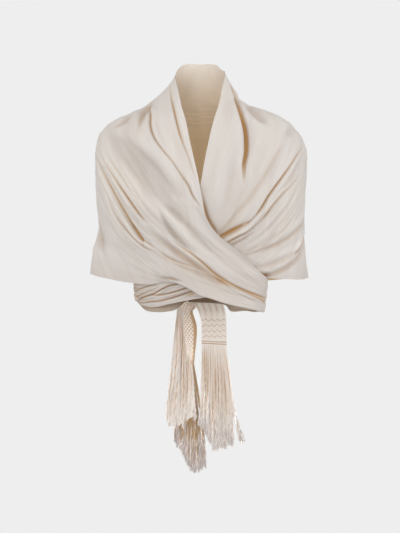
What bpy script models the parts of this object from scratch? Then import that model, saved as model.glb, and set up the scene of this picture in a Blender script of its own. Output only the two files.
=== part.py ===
"""A cream satin rebozo worn as a wrap: one long web round the back of the neck and over both
upper arms, its halves crossed on the chest, taken round the waist and knotted behind, with a
knotted net and a fringe hanging from each end.

Blender units are metres, and the tables are in millimetres. The front of the garment faces -Y
and the shoulder line is at height zero. The outer half lies over -X and crosses on top, and
the inner half lies over +X. A half's "reach" is a distance from the centre line towards its
own arm, and is negative once the half has crossed to the other side.
"""

import math
from collections import namedtuple

import bpy
import numpy as np

MM = 0.001
WALL = 1.4
SEAM = 0.3
ROLL_SHARE = 0.74
TUCK_ANGLE = math.radians(165)
TUCK_BEND = 0.5

CLOTH = ("cream_satin", (0.80, 0.72, 0.62), 0.42)
NET = ("knotted_net", (0.78, 0.70, 0.60), 0.75)
THREAD = ("silk_fringe", (0.80, 0.72, 0.62), 0.65)

# Level rings of the figure with both upper arms under the cloth, from the collar down. The
# half widths are those over the outer half's arm and over the inner half's.
Ring = namedtuple("Ring", "height outer_width inner_width front back front_square back_square")
CAPE = (
    Ring(125, 39, 39, 30, 60, 2.0, 2.0),
    Ring(103, 43, 44, 34, 62, 2.0, 2.0),
    Ring(72, 52, 55, 41, 66, 2.0, 2.0),
    Ring(38, 78, 76, 54, 74, 2.0, 2.0),
    Ring(13, 109, 96, 65, 82, 2.0, 2.0),
    Ring(0, 129, 134, 72, 87, 2.0, 2.1),
    Ring(-12, 167, 165, 78, 92, 2.1, 2.2),
    Ring(-25, 197, 186, 84, 96, 2.2, 2.2),
    Ring(-45, 208, 204, 92, 102, 2.3, 2.3),
    Ring(-76, 217, 221, 105, 111, 2.3, 2.4),
    Ring(-120, 219, 224, 117, 119, 2.3, 2.4),
    Ring(-190, 217, 220, 127, 124, 2.2, 2.4),
    Ring(-245, 213, 219, 123, 124, 2.0, 2.4),
    Ring(-300, 225, 221, 113, 122, 1.7, 2.3),
    Ring(-350, 231, 227, 108, 122, 1.65, 2.3),
    Ring(-440, 238, 236, 106, 122, 1.65, 2.3),
)

# Level rings of the waist, inside the arms. Their front depth is the cape's.
Waist = namedtuple("Waist", "height half_width back front_square back_square")
WAIST = (
    Waist(-100, 220, 117, 2.3, 2.3),
    Waist(-165, 219, 117, 2.2, 2.3),
    Waist(-215, 203, 112, 2.3, 2.3),
    Waist(-260, 174, 106, 2.6, 2.3),
    Waist(-300, 151, 100, 3.2, 2.3),
    Waist(-345, 137, 95, 4.0, 2.3),
    Waist(-385, 133, 92, 3.6, 2.3),
    Waist(-440, 127, 90, 3.0, 2.3),
)

# Sections across the web, from the middle of the back to the knot. Each has a point on the
# neck edge, on the roll that carries the lowest fold, and on the hem. "where" is the back or
# front of the cape, or the back of the waist. lift is how far the section stands off the
# figure. tuck is how far the flap below the roll is turned in behind it, from 0 to 1, and the
# hem is given where it would hang unturned.
Section = namedtuple(
    "Section",
    "where edge_reach edge_height roll_reach roll_height hem_reach hem_height lift tuck",
)
OUTER_HALF = (
    Section("back", 0, 103, 0, -190, 0, -372, 0, 0),
    Section("back", 20, 103, 60, -192, 72, -371, 0, 0),
    Section("back", 34, 99, 125, -190, 145, -366, 0, 0),
    Section("back", 46, 86, 182, -184, 204, -356, 0, 0),
    Section("front", 51, 71, 240, -176, 240, -344, 0, 0),
    Section("front", 40, 21, 215, -170, 226, -345, 0, 0),
    Section("front", 31, -21, 205, -188, 215, -349, 0, 0),
    Section("front", 20, -68, 187, -226, 190, -354, 1, 0),
    Section("front", 11, -112, 160, -268, 158, -360, 2.5, 0),
    Section("front", 2, -152, 126, -305, 124, -364, 4, 0),
    Section("front", -4, -190, 93, -330, 96, -366, 6, 0.05),
    Section("front", -12, -228, 63, -350, 68, -367, 8, 0.3),
    Section("front", -34, -261, 17, -376, 19, -390, 9, 0.85),
    Section("front", -64, -286, -15, -392, -15, -406, 9, 1),
    Section("front", -88, -309, -48, -403, -48, -417, 9, 1),
    Section("front", -114, -336, -82, -411, -82, -425, 8, 1),
    Section("front", -132, -352, -120, -421, -120, -435, 7, 1),
    Section("waist", -133, -358, -128, -424, -128, -438, 6, 1),
    Section("waist", -104, -361, -100, -425, -100, -439, 4, 1),
    Section("waist", -62, -366, -60, -425, -60, -439, 3, 1),
    Section("waist", -18, -378, -17, -424, -17, -438, 3, 1),
    Section("waist", 29.6, -396, 29.6, -421, 29.6, -433, 3, 1),
)
INNER_HALF = (
    Section("back", 0, 103, 0, -190, 0, -372, 0, 0),
    Section("back", 20, 103, 60, -192, 72, -371, 0, 0),
    Section("back", 34, 99, 125, -190, 145, -367, 0, 0),
    Section("back", 46, 86, 182, -184, 204, -360, 0, 0),
    Section("front", 51, 71, 240, -176, 240, -353, 0, 0),
    Section("front", 42, 21, 217, -172, 223, -353, 0, 0),
    Section("front", 32, -10, 211, -190, 217, -355, 0, 0),
    Section("front", 20, -55, 198, -215, 204, -356, 0, 0),
    Section("front", 12, -108, 176, -255, 184, -355, -1, 0),
    Section("front", 4, -150, 150, -290, 162, -352, -2, 0),
    Section("front", -2, -180, 122, -316, 140, -347, -5, 0),
    Section("front", -14, -218, 92, -336, 108, -356, -8, 0),
    Section("front", -32, -252, 60, -354, 72, -372, -9, 0),
    Section("front", -55, -284, 28, -368, 34, -388, -9, 0),
    Section("front", -80, -314, -8, -380, 0, -394, -10, 0),
    Section("front", -103, -340, -45, -388, -36, -400, -11, 0),
    Section("front", -121, -354, -80, -393, -70, -407, -9, 0),
    Section("front", -131, -360, -116, -394, -104, -412, -2, 0),
    Section("waist", -134, -364, -131, -382, -131, -397, 6, 0),
    Section("waist", -118, -370, -114, -398, -113, -414, 5, 0),
    Section("waist", -84, -377, -82, -406, -80, -423, 4, 0),
    Section("waist", -30.2, -396, -30.2, -408, -30.2, -420, 3, 0),
)
ARM_SECTION = 4
FLANK_SECTION = 17

# Rows of points across the web, the same on both sides of every seam: down to the roll, then
# past it, closer together where the flap turns in.
WEB_SHARES = np.concatenate(
    [np.linspace(0, ROLL_SHARE, 25), ROLL_SHARE + (1 - ROLL_SHARE) * np.linspace(0.2, 1, 5) ** 1.6]
)

# Gathers where the web is drawn together, counted across it from its neck edge to its hem.
# slope is the steepest slope of their sides.
Gather = namedtuple("Gather", "half first_section count slope")
GATHERS = (
    Gather("outer", 12.5, 4, 0.7),
    Gather("inner", 13.0, 4, 0.8),
)

# Folds, by their line in the front or back view: x and height of each point. width is half
# the width of the trough, depth its depth, and lip the height of the ridge beside it, on the
# right of the line as it runs, as a share of the depth.
Fold = namedtuple("Fold", "half side width depth lip line")
FOLDS = (
    Fold("outer", "front", 9, 6, 0.5, ((-59, 14), (-44, -45), (-26, -105), (-2, -158))),
    Fold("outer", "front", 11, 9, 0.5, ((-112, 0), (-100, -48), (-62, -108), (-27, -164), (6, -216))),
    Fold("outer", "front", 11, 8, 0.5, ((-204, -100), (-166, -158), (-121, -221), (-62, -273), (3, -319))),
    Fold("outer", "front", 10, 8, 0.6, ((-20, -300), (20, -333), (67, -368), (128, -396))),
    Fold("outer", "front", 12, 9, 0.5, ((-204, -140), (-163, -195), (-137, -241), (-112, -275), (-84, -292))),
    Fold("outer", "front", 11, 6, 0.6, ((-190, -193), (-163, -240), (-114, -287), (-50, -325), (38, -358))),
    Fold("outer", "front", 12, 6, 0.3, ((-72, -208), (-51, -250), (-26, -290))),
    Fold("inner", "front", 12, 12, 0.4, ((70, 14), (95, -43), (97, -95), (90, -150))),
    Fold("inner", "front", 10, 8, 0.5, ((206, -90), (155, -163), (120, -224), (50, -266))),
    Fold("inner", "front", 10, 7, 0.5, ((195, -150), (133, -225), (62, -280))),
    Fold("inner", "front", 12, 5, 0.4, ((214, -240), (162, -282), (100, -303))),
    Fold("inner", "front", 10, 7, 0.5, ((214, -273), (194, -303), (160, -326), (128, -336))),
    Fold("outer", "back", 16, 7, 0.4, ((-150, -30), (-110, -120), (-40, -200), (20, -245))),
    Fold("inner", "back", 16, 7, 0.4, ((150, -30), (115, -110), (60, -175), (10, -205))),
    Fold("outer", "back", 15, 6, 0.4, ((-190, -70), (-165, -170), (-110, -270), (-60, -350))),
    Fold("inner", "back", 15, 6, 0.4, ((190, -70), (168, -180), (120, -280), (75, -352))),
)

# The knot: an upright bun of wrapped net, an ellipsoid pinched by the turns round it.
KNOT_CENTRE = (-30, 112.4, -408)
KNOT_HALF = (22, 19, 21)
KNOT_TURNS = 3
KNOT_PINCH = 0.1
KNOT_RINGS = 12
KNOT_SIDES = 18

# The flat end: levels of a net folded once lengthwise. depth is that of its near layer.
Level = namedtuple("Level", "height left right depth")
FLAT_NET = (
    Level(-392, -17, 24, 97.8),
    Level(-401, -10.5, 38, 97.8),
    Level(-412, -8.5, 48, 97.8),
    Level(-426, -2, 53, 98.4),
    Level(-446, 3, 55, 99.5),
    Level(-470, 4, 55.5, 100),
    Level(-493, 5, 56, 100),
)
NET_WALL = 1.6
NET_FOLD = 3.6
NET_COLUMNS = 12
CHEVRON_TOP = -436
CHEVRON_ROWS = 4
CHEVRON_STEP = 12
CHEVRON_RISE = 4
CHEVRON_RELIEF = 0.9

# The twisted end: levels of the net leaf that hangs under the knot.
LEAF = (
    Level(-428.6, -53, -14, 111),
    Level(-440, -46, -11, 111),
    Level(-452, -40, -9.5, 111),
    Level(-466, -35.5, -8.5, 110),
    Level(-486, -31, -9, 110),
    Level(-506, -26, -10, 110),
    Level(-526, -20, -10.5, 110),
    Level(-545, -15, -11, 110),
)
LEAF_HALF_DEPTH = 8
LEAF_RINGS = 9
LEAF_SIDES = 14

# Fringes, each from a backing strip on the near or far layer of a net: along the foot of the
# flat net, or down the leaf's left edge between two heights. Tips are x, y and height.
Fringe = namedtuple("Fringe", "name net layer locks start end tips")
FRINGES = (
    Fringe(
        "fringe_flat_near", "flat", "near", 26, -495.4, -495.4,
        ((-5, 97, -672), (10, 95, -700), (36, 95, -716), (62, 96, -712), (74, 97, -706), (98, 98, -708)),
    ),
    Fringe(
        "fringe_flat_far", "flat", "far", 22, -495.4, -495.4,
        ((-3, 108, -662), (24, 109, -704), (48, 109, -690), (72, 108, -712)),
    ),
    Fringe(
        "fringe_twist_near", "leaf", "near", 24, -432, -516,
        ((-71, 94, -668), (-60, 92, -672), (-40, 91, -676), (-24, 92, -666), (-8, 94, -660)),
    ),
    Fringe(
        "fringe_twist_far", "leaf", "far", 22, -462, -540,
        ((-49, 126, -706), (-34, 127, -732), (-20, 127, -762), (-4, 126, -770), (12, 124, -765)),
    ),
)

# The strips, and the locks that hang from them. On the leaf a strip is set in from the edge by
# a share of the leaf's width, where the leaf's surface is at a share of its half depth.
STRIP_HEIGHT = 3.0
STRIP_DEPTH = 2.4
STRIP_INSET = 0.1
STRIP_SEAT = 0.6
LOCK_FILL = 0.68
LOCK_BENDS = 2
LOCK_SWAY = 1.2
LOCK_RAGGED = 5


def curve(knots, values, at):
    """Values on a smooth curve through the rows, at the given places along them."""
    knots = np.asarray(knots, float)
    values = np.asarray(values, float)
    at = np.asarray(at, float)
    slope = np.gradient(values, knots, axis=0)
    row = np.clip(np.searchsorted(knots, at, side="right") - 1, 0, len(knots) - 2)
    gap = knots[row + 1] - knots[row]
    t = (at - knots[row]) / gap
    if values.ndim > 1:
        gap = gap[..., None]
        t = t[..., None]
    placed = values[row] * (2 * t**3 - 3 * t**2 + 1) + values[row + 1] * (3 * t**2 - 2 * t**3)
    leaning = slope[row] * (t**3 - 2 * t**2 + t) + slope[row + 1] * (t**3 - t**2)
    return placed + leaning * gap


def through(points, count):
    """Evenly counted places on a smooth curve through a few points."""
    return curve(range(len(points)), points, np.linspace(0, len(points) - 1, count))


def column(rows, name, height):
    """One column of a table of levels, at a height."""
    return curve(
        [-row.height for row in rows], [getattr(row, name) for row in rows], -np.asarray(height, float)
    )


def smooth(share):
    share = np.clip(share, 0, 1)
    return share * share * (3 - 2 * share)


def unit(vectors):
    return vectors / np.maximum(np.linalg.norm(vectors, axis=-1, keepdims=True), 1e-9)


def run_table(half):
    """Heights down the outside of an arm, and the distance run over the cloth to each."""
    height = np.linspace(CAPE[0].height, CAPE[-1].height, 400)
    width = column(CAPE, half + "_width", height)
    return height, np.concatenate([[0], np.cumsum(np.hypot(np.diff(height), np.diff(width)))])


def form(half, turn, height):
    """Point of the figure. turn is in radians from the front, positive towards the half's own
    arm, and negative where the cloth goes round the waist under the other arm."""
    cape = turn >= 0
    facing = np.cos(turn) >= 0

    def either(cape_name, waist_name):
        return np.where(cape, column(CAPE, cape_name, height), column(WAIST, waist_name, height))

    width = either(half + "_width", "half_width")
    square = np.where(
        facing, either("front_square", "front_square"), either("back_square", "back_square")
    )
    power = 2 / square
    depth = np.where(facing, -column(CAPE, "front", height), either("back", "back"))
    reach = width * np.sign(np.sin(turn)) * np.abs(np.sin(turn)) ** power
    return np.stack([reach, depth * np.abs(np.cos(turn)) ** power, height], axis=-1)


def form_normal(half, turn, height):
    """Outward direction of the figure's surface."""
    near, far = 0.02, 1.5
    across = form(half, turn + near, height) - form(half, turn - near, height)
    down = form(half, turn, height - far) - form(half, turn, height + far)
    return unit(np.cross(down, across))


def turn_at(half, where, reach, height):
    """The turn at which the figure has this reach."""
    if where == "waist" or reach < 0:
        table, width = WAIST, column(WAIST, "half_width", height)
    else:
        table, width = CAPE, column(CAPE, half + "_width", height)
    square = column(table, "front_square" if where == "front" else "back_square", height)
    angle = math.asin(min(abs(reach) / float(width), 1) ** (float(square) / 2))
    if where == "front":
        return math.copysign(angle, reach)
    if where == "back":
        return math.pi - angle
    return -math.pi + angle if reach < 0 else -math.pi - angle


def fold_offset(x, height, fold):
    """How far one fold moves the cloth: in along its line, and out beside it."""
    line = through(np.array(fold.line, float), 8 * len(fold.line))
    nearest = np.full(x.shape, np.inf)
    side = np.zeros(x.shape)
    along = np.zeros(x.shape)
    for k in range(len(line) - 1):
        run = line[k + 1] - line[k]
        px, pz = x - line[k][0], height - line[k][1]
        t = np.clip((px * run[0] + pz * run[1]) / (run @ run), 0, 1)
        away = np.hypot(px - t * run[0], pz - t * run[1])
        nearer = away < nearest
        nearest = np.where(nearer, away, nearest)
        side = np.where(nearer, np.sign(px * run[1] - pz * run[0]), side)
        along = np.where(nearer, (k + t) / (len(line) - 1), along)
    fade = np.sin(math.pi * np.clip(along, 0.02, 0.98)) ** 0.6
    trough = np.exp(-((nearest / fold.width) ** 2))
    ridge = np.exp(-((side * nearest / fold.width - 1.7) ** 2))
    return fold.depth * fade * (fold.lip * ridge - trough)


def section_controls(half, sections):
    """Turn and run of the neck edge, the roll and the hem in each section, then lift and tuck."""
    heights, runs = run_table(half)
    rows = []
    for s in sections:
        row = []
        for reach, height in (
            (s.edge_reach, s.edge_height),
            (s.roll_reach, s.roll_height),
            (s.hem_reach, s.hem_height),
        ):
            row.append(turn_at(half, s.where, reach, height))
            row.append(np.interp(-height, -heights, runs))
        rows.append(row + [s.lift, s.tuck])
    return np.array(rows)


def half_grid(half, stations, shares):
    """Points of one half of the web. stations count along its sections, and shares run across
    it from the neck edge, 0, to the hem, 1."""
    sections = OUTER_HALF if half == "outer" else INNER_HALF
    controls = curve(range(len(sections)), section_controls(half, sections), stations)
    edge_turn, edge_run, roll_turn, roll_run, hem_turn, hem_run, lift, tuck = controls[:, :, None].transpose(1, 0, 2)
    tuck = np.clip(tuck, 0, 1)
    share = np.asarray(shares)[None, :]
    above = np.clip(share / ROLL_SHARE, 0, 1)
    below = np.clip((share - ROLL_SHARE) / (1 - ROLL_SHARE), 0, 1)

    angle = np.maximum(TUCK_ANGLE * tuck, 1e-6)
    radius = TUCK_BEND * (hem_run - roll_run) / angle
    bent = angle * np.clip(below / TUCK_BEND, 0, 1)
    straight = (hem_run - roll_run) * np.clip(below - TUCK_BEND, 0, 1)
    dip = radius * tuck * np.sin(np.minimum(angle, math.pi / 2))
    turn = edge_turn + (roll_turn - edge_turn) * above + (hem_turn - roll_turn) * below
    run = edge_run + (roll_run - dip - edge_run) * above + radius * np.sin(bent) + straight * np.cos(angle)
    heights, runs = run_table(half)
    height = np.interp(run, runs, heights)

    lift = lift - radius * (1 - np.cos(bent)) - straight * np.sin(angle)
    hidden = tuck * smooth(3 * below)
    for gather in GATHERS:
        if gather.half == half:
            grown = smooth((np.asarray(stations)[:, None] - gather.first_section) / 3)
            length = np.minimum(
                (roll_run - edge_run) / ROLL_SHARE, abs(hem_run - roll_run) / (1 - ROLL_SHARE)
            )
            depth = gather.slope * length / (2 * math.pi * gather.count)
            wave = np.cos(2 * math.pi * gather.count * share)
            lift = lift + depth * grown * (1 - hidden) * wave
    mirror = -1 if half == "outer" else 1
    base = form(half, turn, height)
    out = form_normal(half, turn, height)
    for fold in FOLDS:
        if fold.half == half:
            toward = out[..., 1] * (1 if fold.side == "back" else -1)
            seen = np.clip(2.5 * toward, 0, 1) * (1 - hidden)
            if fold.side == "back":
                seen = seen * (turn > 0)
            lift = lift + seen * fold_offset(mirror * base[..., 0], height, fold)
    points = base + out * lift[..., None]
    points[..., 0] *= mirror
    return points


def directions(points):
    """Directions square to a grid of points."""
    return unit(np.cross(np.gradient(points, axis=0), np.gradient(points, axis=1)))


def material_of(name, colour, roughness):
    material = bpy.data.materials.new(name)
    material.use_nodes = True
    shader = material.node_tree.nodes["Principled BSDF"]
    shader.inputs["Base Color"].default_value = (*colour, 1)
    shader.inputs["Roughness"].default_value = roughness
    shader.inputs["Metallic"].default_value = 0
    return material


def add_object(name, points, faces, material):
    """An object from points in millimetres."""
    mesh = bpy.data.meshes.new(name)
    mesh.from_pydata([tuple(MM * c for c in p) for p in points], [], faces)
    mesh.shade_smooth()
    mesh.set_sharp_from_angle(angle=math.radians(50))
    mesh.materials.append(material)
    obj = bpy.data.objects.new(name, mesh)
    bpy.context.scene.collection.objects.link(obj)


def wall(name, points, normals, thickness, material, outward):
    """A closed wall on a grid of points, half its thickness to each side. outward is roughly
    the outside direction at the middle of the grid, and settles which way the faces turn."""
    rows, columns = points.shape[:2]
    if np.dot(normals[rows // 2, columns // 3], outward) < 0:
        points, normals = points[::-1], -normals[::-1]
    outer = (points + normals * thickness / 2).reshape(-1, 3)
    inner = (points - normals * thickness / 2).reshape(-1, 3)
    count = rows * columns
    faces = []
    for i in range(rows - 1):
        for j in range(columns - 1):
            a = i * columns + j
            b = a + columns
            faces.append((a, b, b + 1, a + 1))
            faces.append((count + a, count + a + 1, count + b + 1, count + b))
    rim = [i * columns for i in range(rows)]
    rim += [(rows - 1) * columns + j for j in range(1, columns)]
    rim += [i * columns + columns - 1 for i in range(rows - 2, -1, -1)]
    rim += list(range(columns - 2, 0, -1))
    for a, b in zip(rim, rim[1:] + rim[:1]):
        faces.append((a, count + a, count + b, b))
    add_object(name, np.concatenate([outer, inner]), faces, material)


def tube_faces(rings, sides):
    """Faces of a tube of rings of points, with both ends closed."""
    faces = [tuple(reversed(range(sides)))]
    for i in range(rings - 1):
        for j in range(sides):
            k = (j + 1) % sides
            faces.append((i * sides + j, i * sides + k, (i + 1) * sides + k, (i + 1) * sides + j))
    faces.append(tuple(range((rings - 1) * sides, rings * sides)))
    return faces


def draw_in(points, row, neighbour):
    """Moves one row of a grid in, so that it is half a seam's width from the line it had, and
    twice that at the roll and past it, where the seam is folded."""
    inward = unit(points[neighbour] - points[row])
    line = unit(np.gradient(points[row], axis=0))
    slant = np.linalg.norm(np.cross(inward, line), axis=-1, keepdims=True)
    room = SEAM / 2 * np.where(WEB_SHARES > ROLL_SHARE - 0.05, 2, 1)[:, None]
    points[row] += inward * room / np.maximum(slant, 0.3)


def stretch(half, first, last, count):
    """Points and outward directions of a stretch of one half, from one section to another. One
    more row past each end gives the two sides of a seam the same direction."""
    sections = OUTER_HALF if half == "outer" else INNER_HALF
    step = (last - first) / count
    stations = first + step * np.arange(-1, count + 2)
    grid = half_grid(half, np.clip(stations, 0, len(sections) - 1), WEB_SHARES)
    points, normals = grid[1:-1], directions(grid)[1:-1]
    draw_in(points, 0, 1)
    if last < len(sections) - 1:
        draw_in(points, -1, -2)
    return points, normals


def build_back(material):
    """The middle of the web: the collar's back, both shoulders and the back of the cape."""
    count = 9
    stations = ARM_SECTION / count * np.arange(count + 2)
    outer = half_grid("outer", stations, WEB_SHARES)
    inner = half_grid("inner", stations, WEB_SHARES)
    grid = np.concatenate([outer[::-1], inner[1:]])
    points, normals = grid[1:-1], directions(grid)[1:-1]
    draw_in(points, 0, 1)
    draw_in(points, -1, -2)
    wall("back_and_shoulders", points, normals, WALL, material, (0, 1, 0))


def build_web(material):
    """The web in five stretches: the back, two fronts, and two ends round the waist."""
    build_back(material)
    last = len(OUTER_HALF) - 1
    for name, half, start, end, count, outward in (
        ("front_outer", "outer", ARM_SECTION, FLANK_SECTION, 20, -1),
        ("front_inner", "inner", ARM_SECTION, FLANK_SECTION, 18, -1),
        ("waist_outer", "outer", FLANK_SECTION, last, 6, 1),
        ("waist_inner", "inner", FLANK_SECTION, last, 6, 1),
    ):
        points, normals = stretch(half, start, end, count)
        wall(name, points, normals, WALL, material, (0, outward, 0))


def build_knot(material):
    """The bun, in rings from one side to the other, its turns slanting round it."""
    points = []
    for i in range(KNOT_RINGS):
        fall = math.pi * (i + 0.5) / KNOT_RINGS
        for j in range(KNOT_SIDES):
            turn = 2 * math.pi * j / KNOT_SIDES
            wave = math.cos(2 * KNOT_TURNS * fall + turn)
            swell = 1 - KNOT_PINCH * (0.5 + 0.5 * wave) * math.sin(fall)
            points.append(
                (
                    KNOT_CENTRE[0] - KNOT_HALF[0] * math.cos(fall) * swell,
                    KNOT_CENTRE[1] + KNOT_HALF[1] * math.sin(fall) * math.cos(turn) * swell,
                    KNOT_CENTRE[2] + KNOT_HALF[2] * math.sin(fall) * math.sin(turn) * swell,
                )
            )
    add_object("knot", points, tube_faces(KNOT_RINGS, KNOT_SIDES), material)


def flat_net_levels():
    """Height, zigzag rise and relief of each level of points down the flat net."""
    levels = [(height, 0, 0) for height in np.linspace(FLAT_NET[0].height, CHEVRON_TOP + 4, 5)]
    for row in range(CHEVRON_ROWS):
        top = CHEVRON_TOP - row * CHEVRON_STEP
        levels += [(top, CHEVRON_RISE, 0), (top - 2.5, CHEVRON_RISE, 1), (top - 6, CHEVRON_RISE, 1)]
    bottom = FLAT_NET[-1].height
    levels += [(bottom + 6, 0, 0), (bottom + 4, 0, 1), (bottom + 2, 0, 1), (bottom, 0, 0)]
    return levels


def build_flat_net(material):
    """The flat end's net: a wall folded at its right edge, with raised chevrons and a raised
    cord across the bottom of its near layer."""
    rows = []
    for height, rise, relief in flat_net_levels():
        left, right, depth = (float(column(FLAT_NET, name, height)) for name in ("left", "right", "depth"))
        turn_x = right - NET_FOLD / 2
        row = []
        for k in range(NET_COLUMNS + 1):
            zigzag = rise * (abs((k % 4) - 2) - 1) / 2
            inside = 0 < k < NET_COLUMNS
            x = left + (turn_x - left) * k / NET_COLUMNS
            row.append((x, depth - CHEVRON_RELIEF * relief * inside, height + zigzag * inside))
        for k in range(1, 4):
            swing = math.pi * k / 4
            x = turn_x + NET_FOLD / 2 * math.sin(swing)
            row.append((x, depth + NET_FOLD / 2 * (1 - math.cos(swing)), height))
        for k in range(5):
            row.append((turn_x + (left + 1 - turn_x) * k / 4, depth + NET_FOLD, height))
        rows.append(row)
    points = np.array(rows)
    wall("net_flat", points, directions(points), NET_WALL, material, (0, -1, 0))


def leaf_level(height):
    left, right, depth = (float(column(LEAF, name, height)) for name in ("left", "right", "depth"))
    return left, right, depth, LEAF_HALF_DEPTH * min(1.0, (right - left) / 22)


def build_leaf(material):
    """The twisted end's net: a leaf of folded net that narrows to its tip."""
    points = []
    for height in np.linspace(LEAF[-1].height, LEAF[0].height, LEAF_RINGS):
        left, right, depth, thick = leaf_level(height)
        for j in range(LEAF_SIDES):
            turn = 2 * math.pi * j / LEAF_SIDES
            points.append(
                (
                    (left + right) / 2 + (right - left) / 2 * math.cos(turn),
                    depth + thick * math.sin(turn) * (1 - 0.18 * math.cos(3 * turn)),
                    height,
                )
            )
    add_object("net_twisted", points, tube_faces(LEAF_RINGS, LEAF_SIDES), material)


def strip_line(fringe):
    """Places along a fringe's backing strip: under the flat net, or down the leaf's left edge."""
    places = []
    count = 2 * fringe.locks + 2
    for k in range(count):
        share = k / (count - 1)
        height = fringe.start + (fringe.end - fringe.start) * share
        if fringe.net == "flat":
            foot = FLAT_NET[-1]
            depth = foot.depth + (NET_FOLD if fringe.layer == "far" else 0)
            places.append((foot.left + (foot.right - foot.left) * share, depth, height))
            continue
        left, right, depth, thick = leaf_level(height)
        out = thick * STRIP_SEAT + STRIP_DEPTH / 2 + SEAM
        places.append((left + STRIP_INSET * (right - left), depth + (out if fringe.layer == "far" else -out), height))
    return np.array(places)


def lock_paths(fringe, strip):
    """Places down each lock, from under the strip to its tip, with a slight sway."""
    roots = (strip[1::2][:-1] + strip[2::2]) / 2 - (0, 0, STRIP_HEIGHT / 2)
    tips = through(np.array(fringe.tips, float), fringe.locks)
    number = np.arange(fringe.locks)
    tips[:, 2] += LOCK_RAGGED * np.sin(5.3 * number) * np.sin(1.7 * number)
    share = (np.arange(LOCK_BENDS + 1) / LOCK_BENDS)[None, :, None]
    paths = roots[:, None] + (tips - roots)[:, None] * share
    paths[..., 0] += LOCK_SWAY * np.sin(0.4 * number)[:, None] * np.sin(2.4 * math.pi * share[..., 0])
    return paths


def build_fringe(fringe, material):
    """A comb: the strip, and locks drawn down from under it that widen as they spread."""
    strip = strip_line(fringe)
    paths = lock_paths(fringe, strip)
    across = np.gradient(paths, axis=0) * (LOCK_FILL / 2, 0, 0)
    up = np.array([0, 0, STRIP_HEIGHT / 2])
    back = np.array([0, STRIP_DEPTH / 2, 0])
    points = []
    for place in strip:
        points += [place - up - back, place + up - back, place + up + back, place - up + back]
    faces = [(0, 1, 2, 3)]
    for i in range(len(strip) - 1):
        a = 4 * i
        faces += [(a, a + 4, a + 5, a + 1), (a + 1, a + 5, a + 6, a + 2), (a + 2, a + 6, a + 7, a + 3)]
        ring = [a + 3, a + 7, a + 4, a]
        if i % 2 == 1:
            number = i // 2
            for k in range(1, LOCK_BENDS + 1):
                place, side = paths[number, k], across[number, k]
                new = list(range(len(points), len(points) + 4))
                points += [place - side + back, place + side + back, place + side - back, place - side - back]
                for j in range(4):
                    m = (j + 1) % 4
                    faces.append((ring[j], ring[m], new[m], new[j]))
                ring = new
        faces.append(tuple(ring))
    end = 4 * len(strip)
    faces.append((end - 1, end - 2, end - 3, end - 4))
    add_object(fringe.name, points, faces, material)


def main():
    for obj in list(bpy.data.objects):
        bpy.data.objects.remove(obj)
    cloth = material_of(*CLOTH)
    net = material_of(*NET)
    thread = material_of(*THREAD)
    build_web(cloth)
    build_knot(net)
    build_flat_net(net)
    build_leaf(net)
    for fringe in FRINGES:
        build_fringe(fringe, thread)


main()
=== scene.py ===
"""The looks of a cream satin rebozo worn as a wrap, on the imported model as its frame.

The tables are in millimetres, and add_piece turns points into metres. The front faces -Y and
the shoulder line is at height zero. The outer half lies over -X and crosses on top, and the
inner half lies over +X. A half's "reach" is a distance from the centre line towards its own
arm, and is negative once the half has crossed to the other side.
"""

import math
from collections import namedtuple

import bpy
import numpy as np
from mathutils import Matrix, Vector


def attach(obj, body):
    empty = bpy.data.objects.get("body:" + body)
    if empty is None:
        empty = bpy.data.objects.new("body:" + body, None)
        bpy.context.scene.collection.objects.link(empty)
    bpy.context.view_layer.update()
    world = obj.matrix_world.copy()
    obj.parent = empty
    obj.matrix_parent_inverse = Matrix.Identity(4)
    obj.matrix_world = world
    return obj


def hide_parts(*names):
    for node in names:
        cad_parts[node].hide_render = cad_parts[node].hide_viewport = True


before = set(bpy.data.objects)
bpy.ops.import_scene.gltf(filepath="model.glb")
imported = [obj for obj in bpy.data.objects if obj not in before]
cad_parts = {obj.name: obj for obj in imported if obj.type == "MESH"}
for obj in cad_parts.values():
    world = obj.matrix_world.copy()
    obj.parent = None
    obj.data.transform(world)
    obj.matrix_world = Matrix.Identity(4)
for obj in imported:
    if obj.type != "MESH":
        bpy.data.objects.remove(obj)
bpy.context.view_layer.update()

MM = 0.001
TURN = 2 * math.pi
CHANCE = np.random.default_rng(11)

# The cloth: its thickness, the share of its width that lies above the roll, and the angle by
# which the flap below is turned in, over this share of the flap.
THICKNESS = 0.8
ROLL_SHARE = 0.74
TUCK_ANGLE = math.radians(165)
TUCK_BEND = 0.5

# Level rings of the figure with both upper arms under the cloth, from the collar down.
Ring = namedtuple("Ring", "height outer_width inner_width front back front_square back_square")
CAPE = (
    Ring(125, 39, 39, 30, 60, 2.0, 2.0),
    Ring(103, 43, 44, 34, 62, 2.0, 2.0),
    Ring(72, 52, 55, 41, 66, 2.0, 2.0),
    Ring(38, 78, 76, 54, 74, 2.0, 2.0),
    Ring(13, 109, 96, 65, 81.7, 2.0, 2.03),
    Ring(0, 129, 134, 72, 86.2, 2.0, 2.09),
    Ring(-12, 156, 163, 78, 90.5, 2.1, 2.14),
    Ring(-25, 184, 184, 84, 95.1, 2.2, 2.2),
    Ring(-45, 206, 204, 92, 101.7, 2.3, 2.28),
    Ring(-76, 217, 221, 105, 111, 2.3, 2.4),
    Ring(-120, 219, 224, 117, 119, 2.3, 2.4),
    Ring(-190, 217, 220, 127, 124, 2.2, 2.4),
    Ring(-245, 213, 219, 123, 124, 2.0, 2.4),
    Ring(-300, 225, 221, 113, 122, 1.7, 2.3),
    Ring(-350, 231, 227, 108, 122, 1.65, 2.3),
    Ring(-440, 238, 236, 106, 122, 1.65, 2.3),
)

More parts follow.
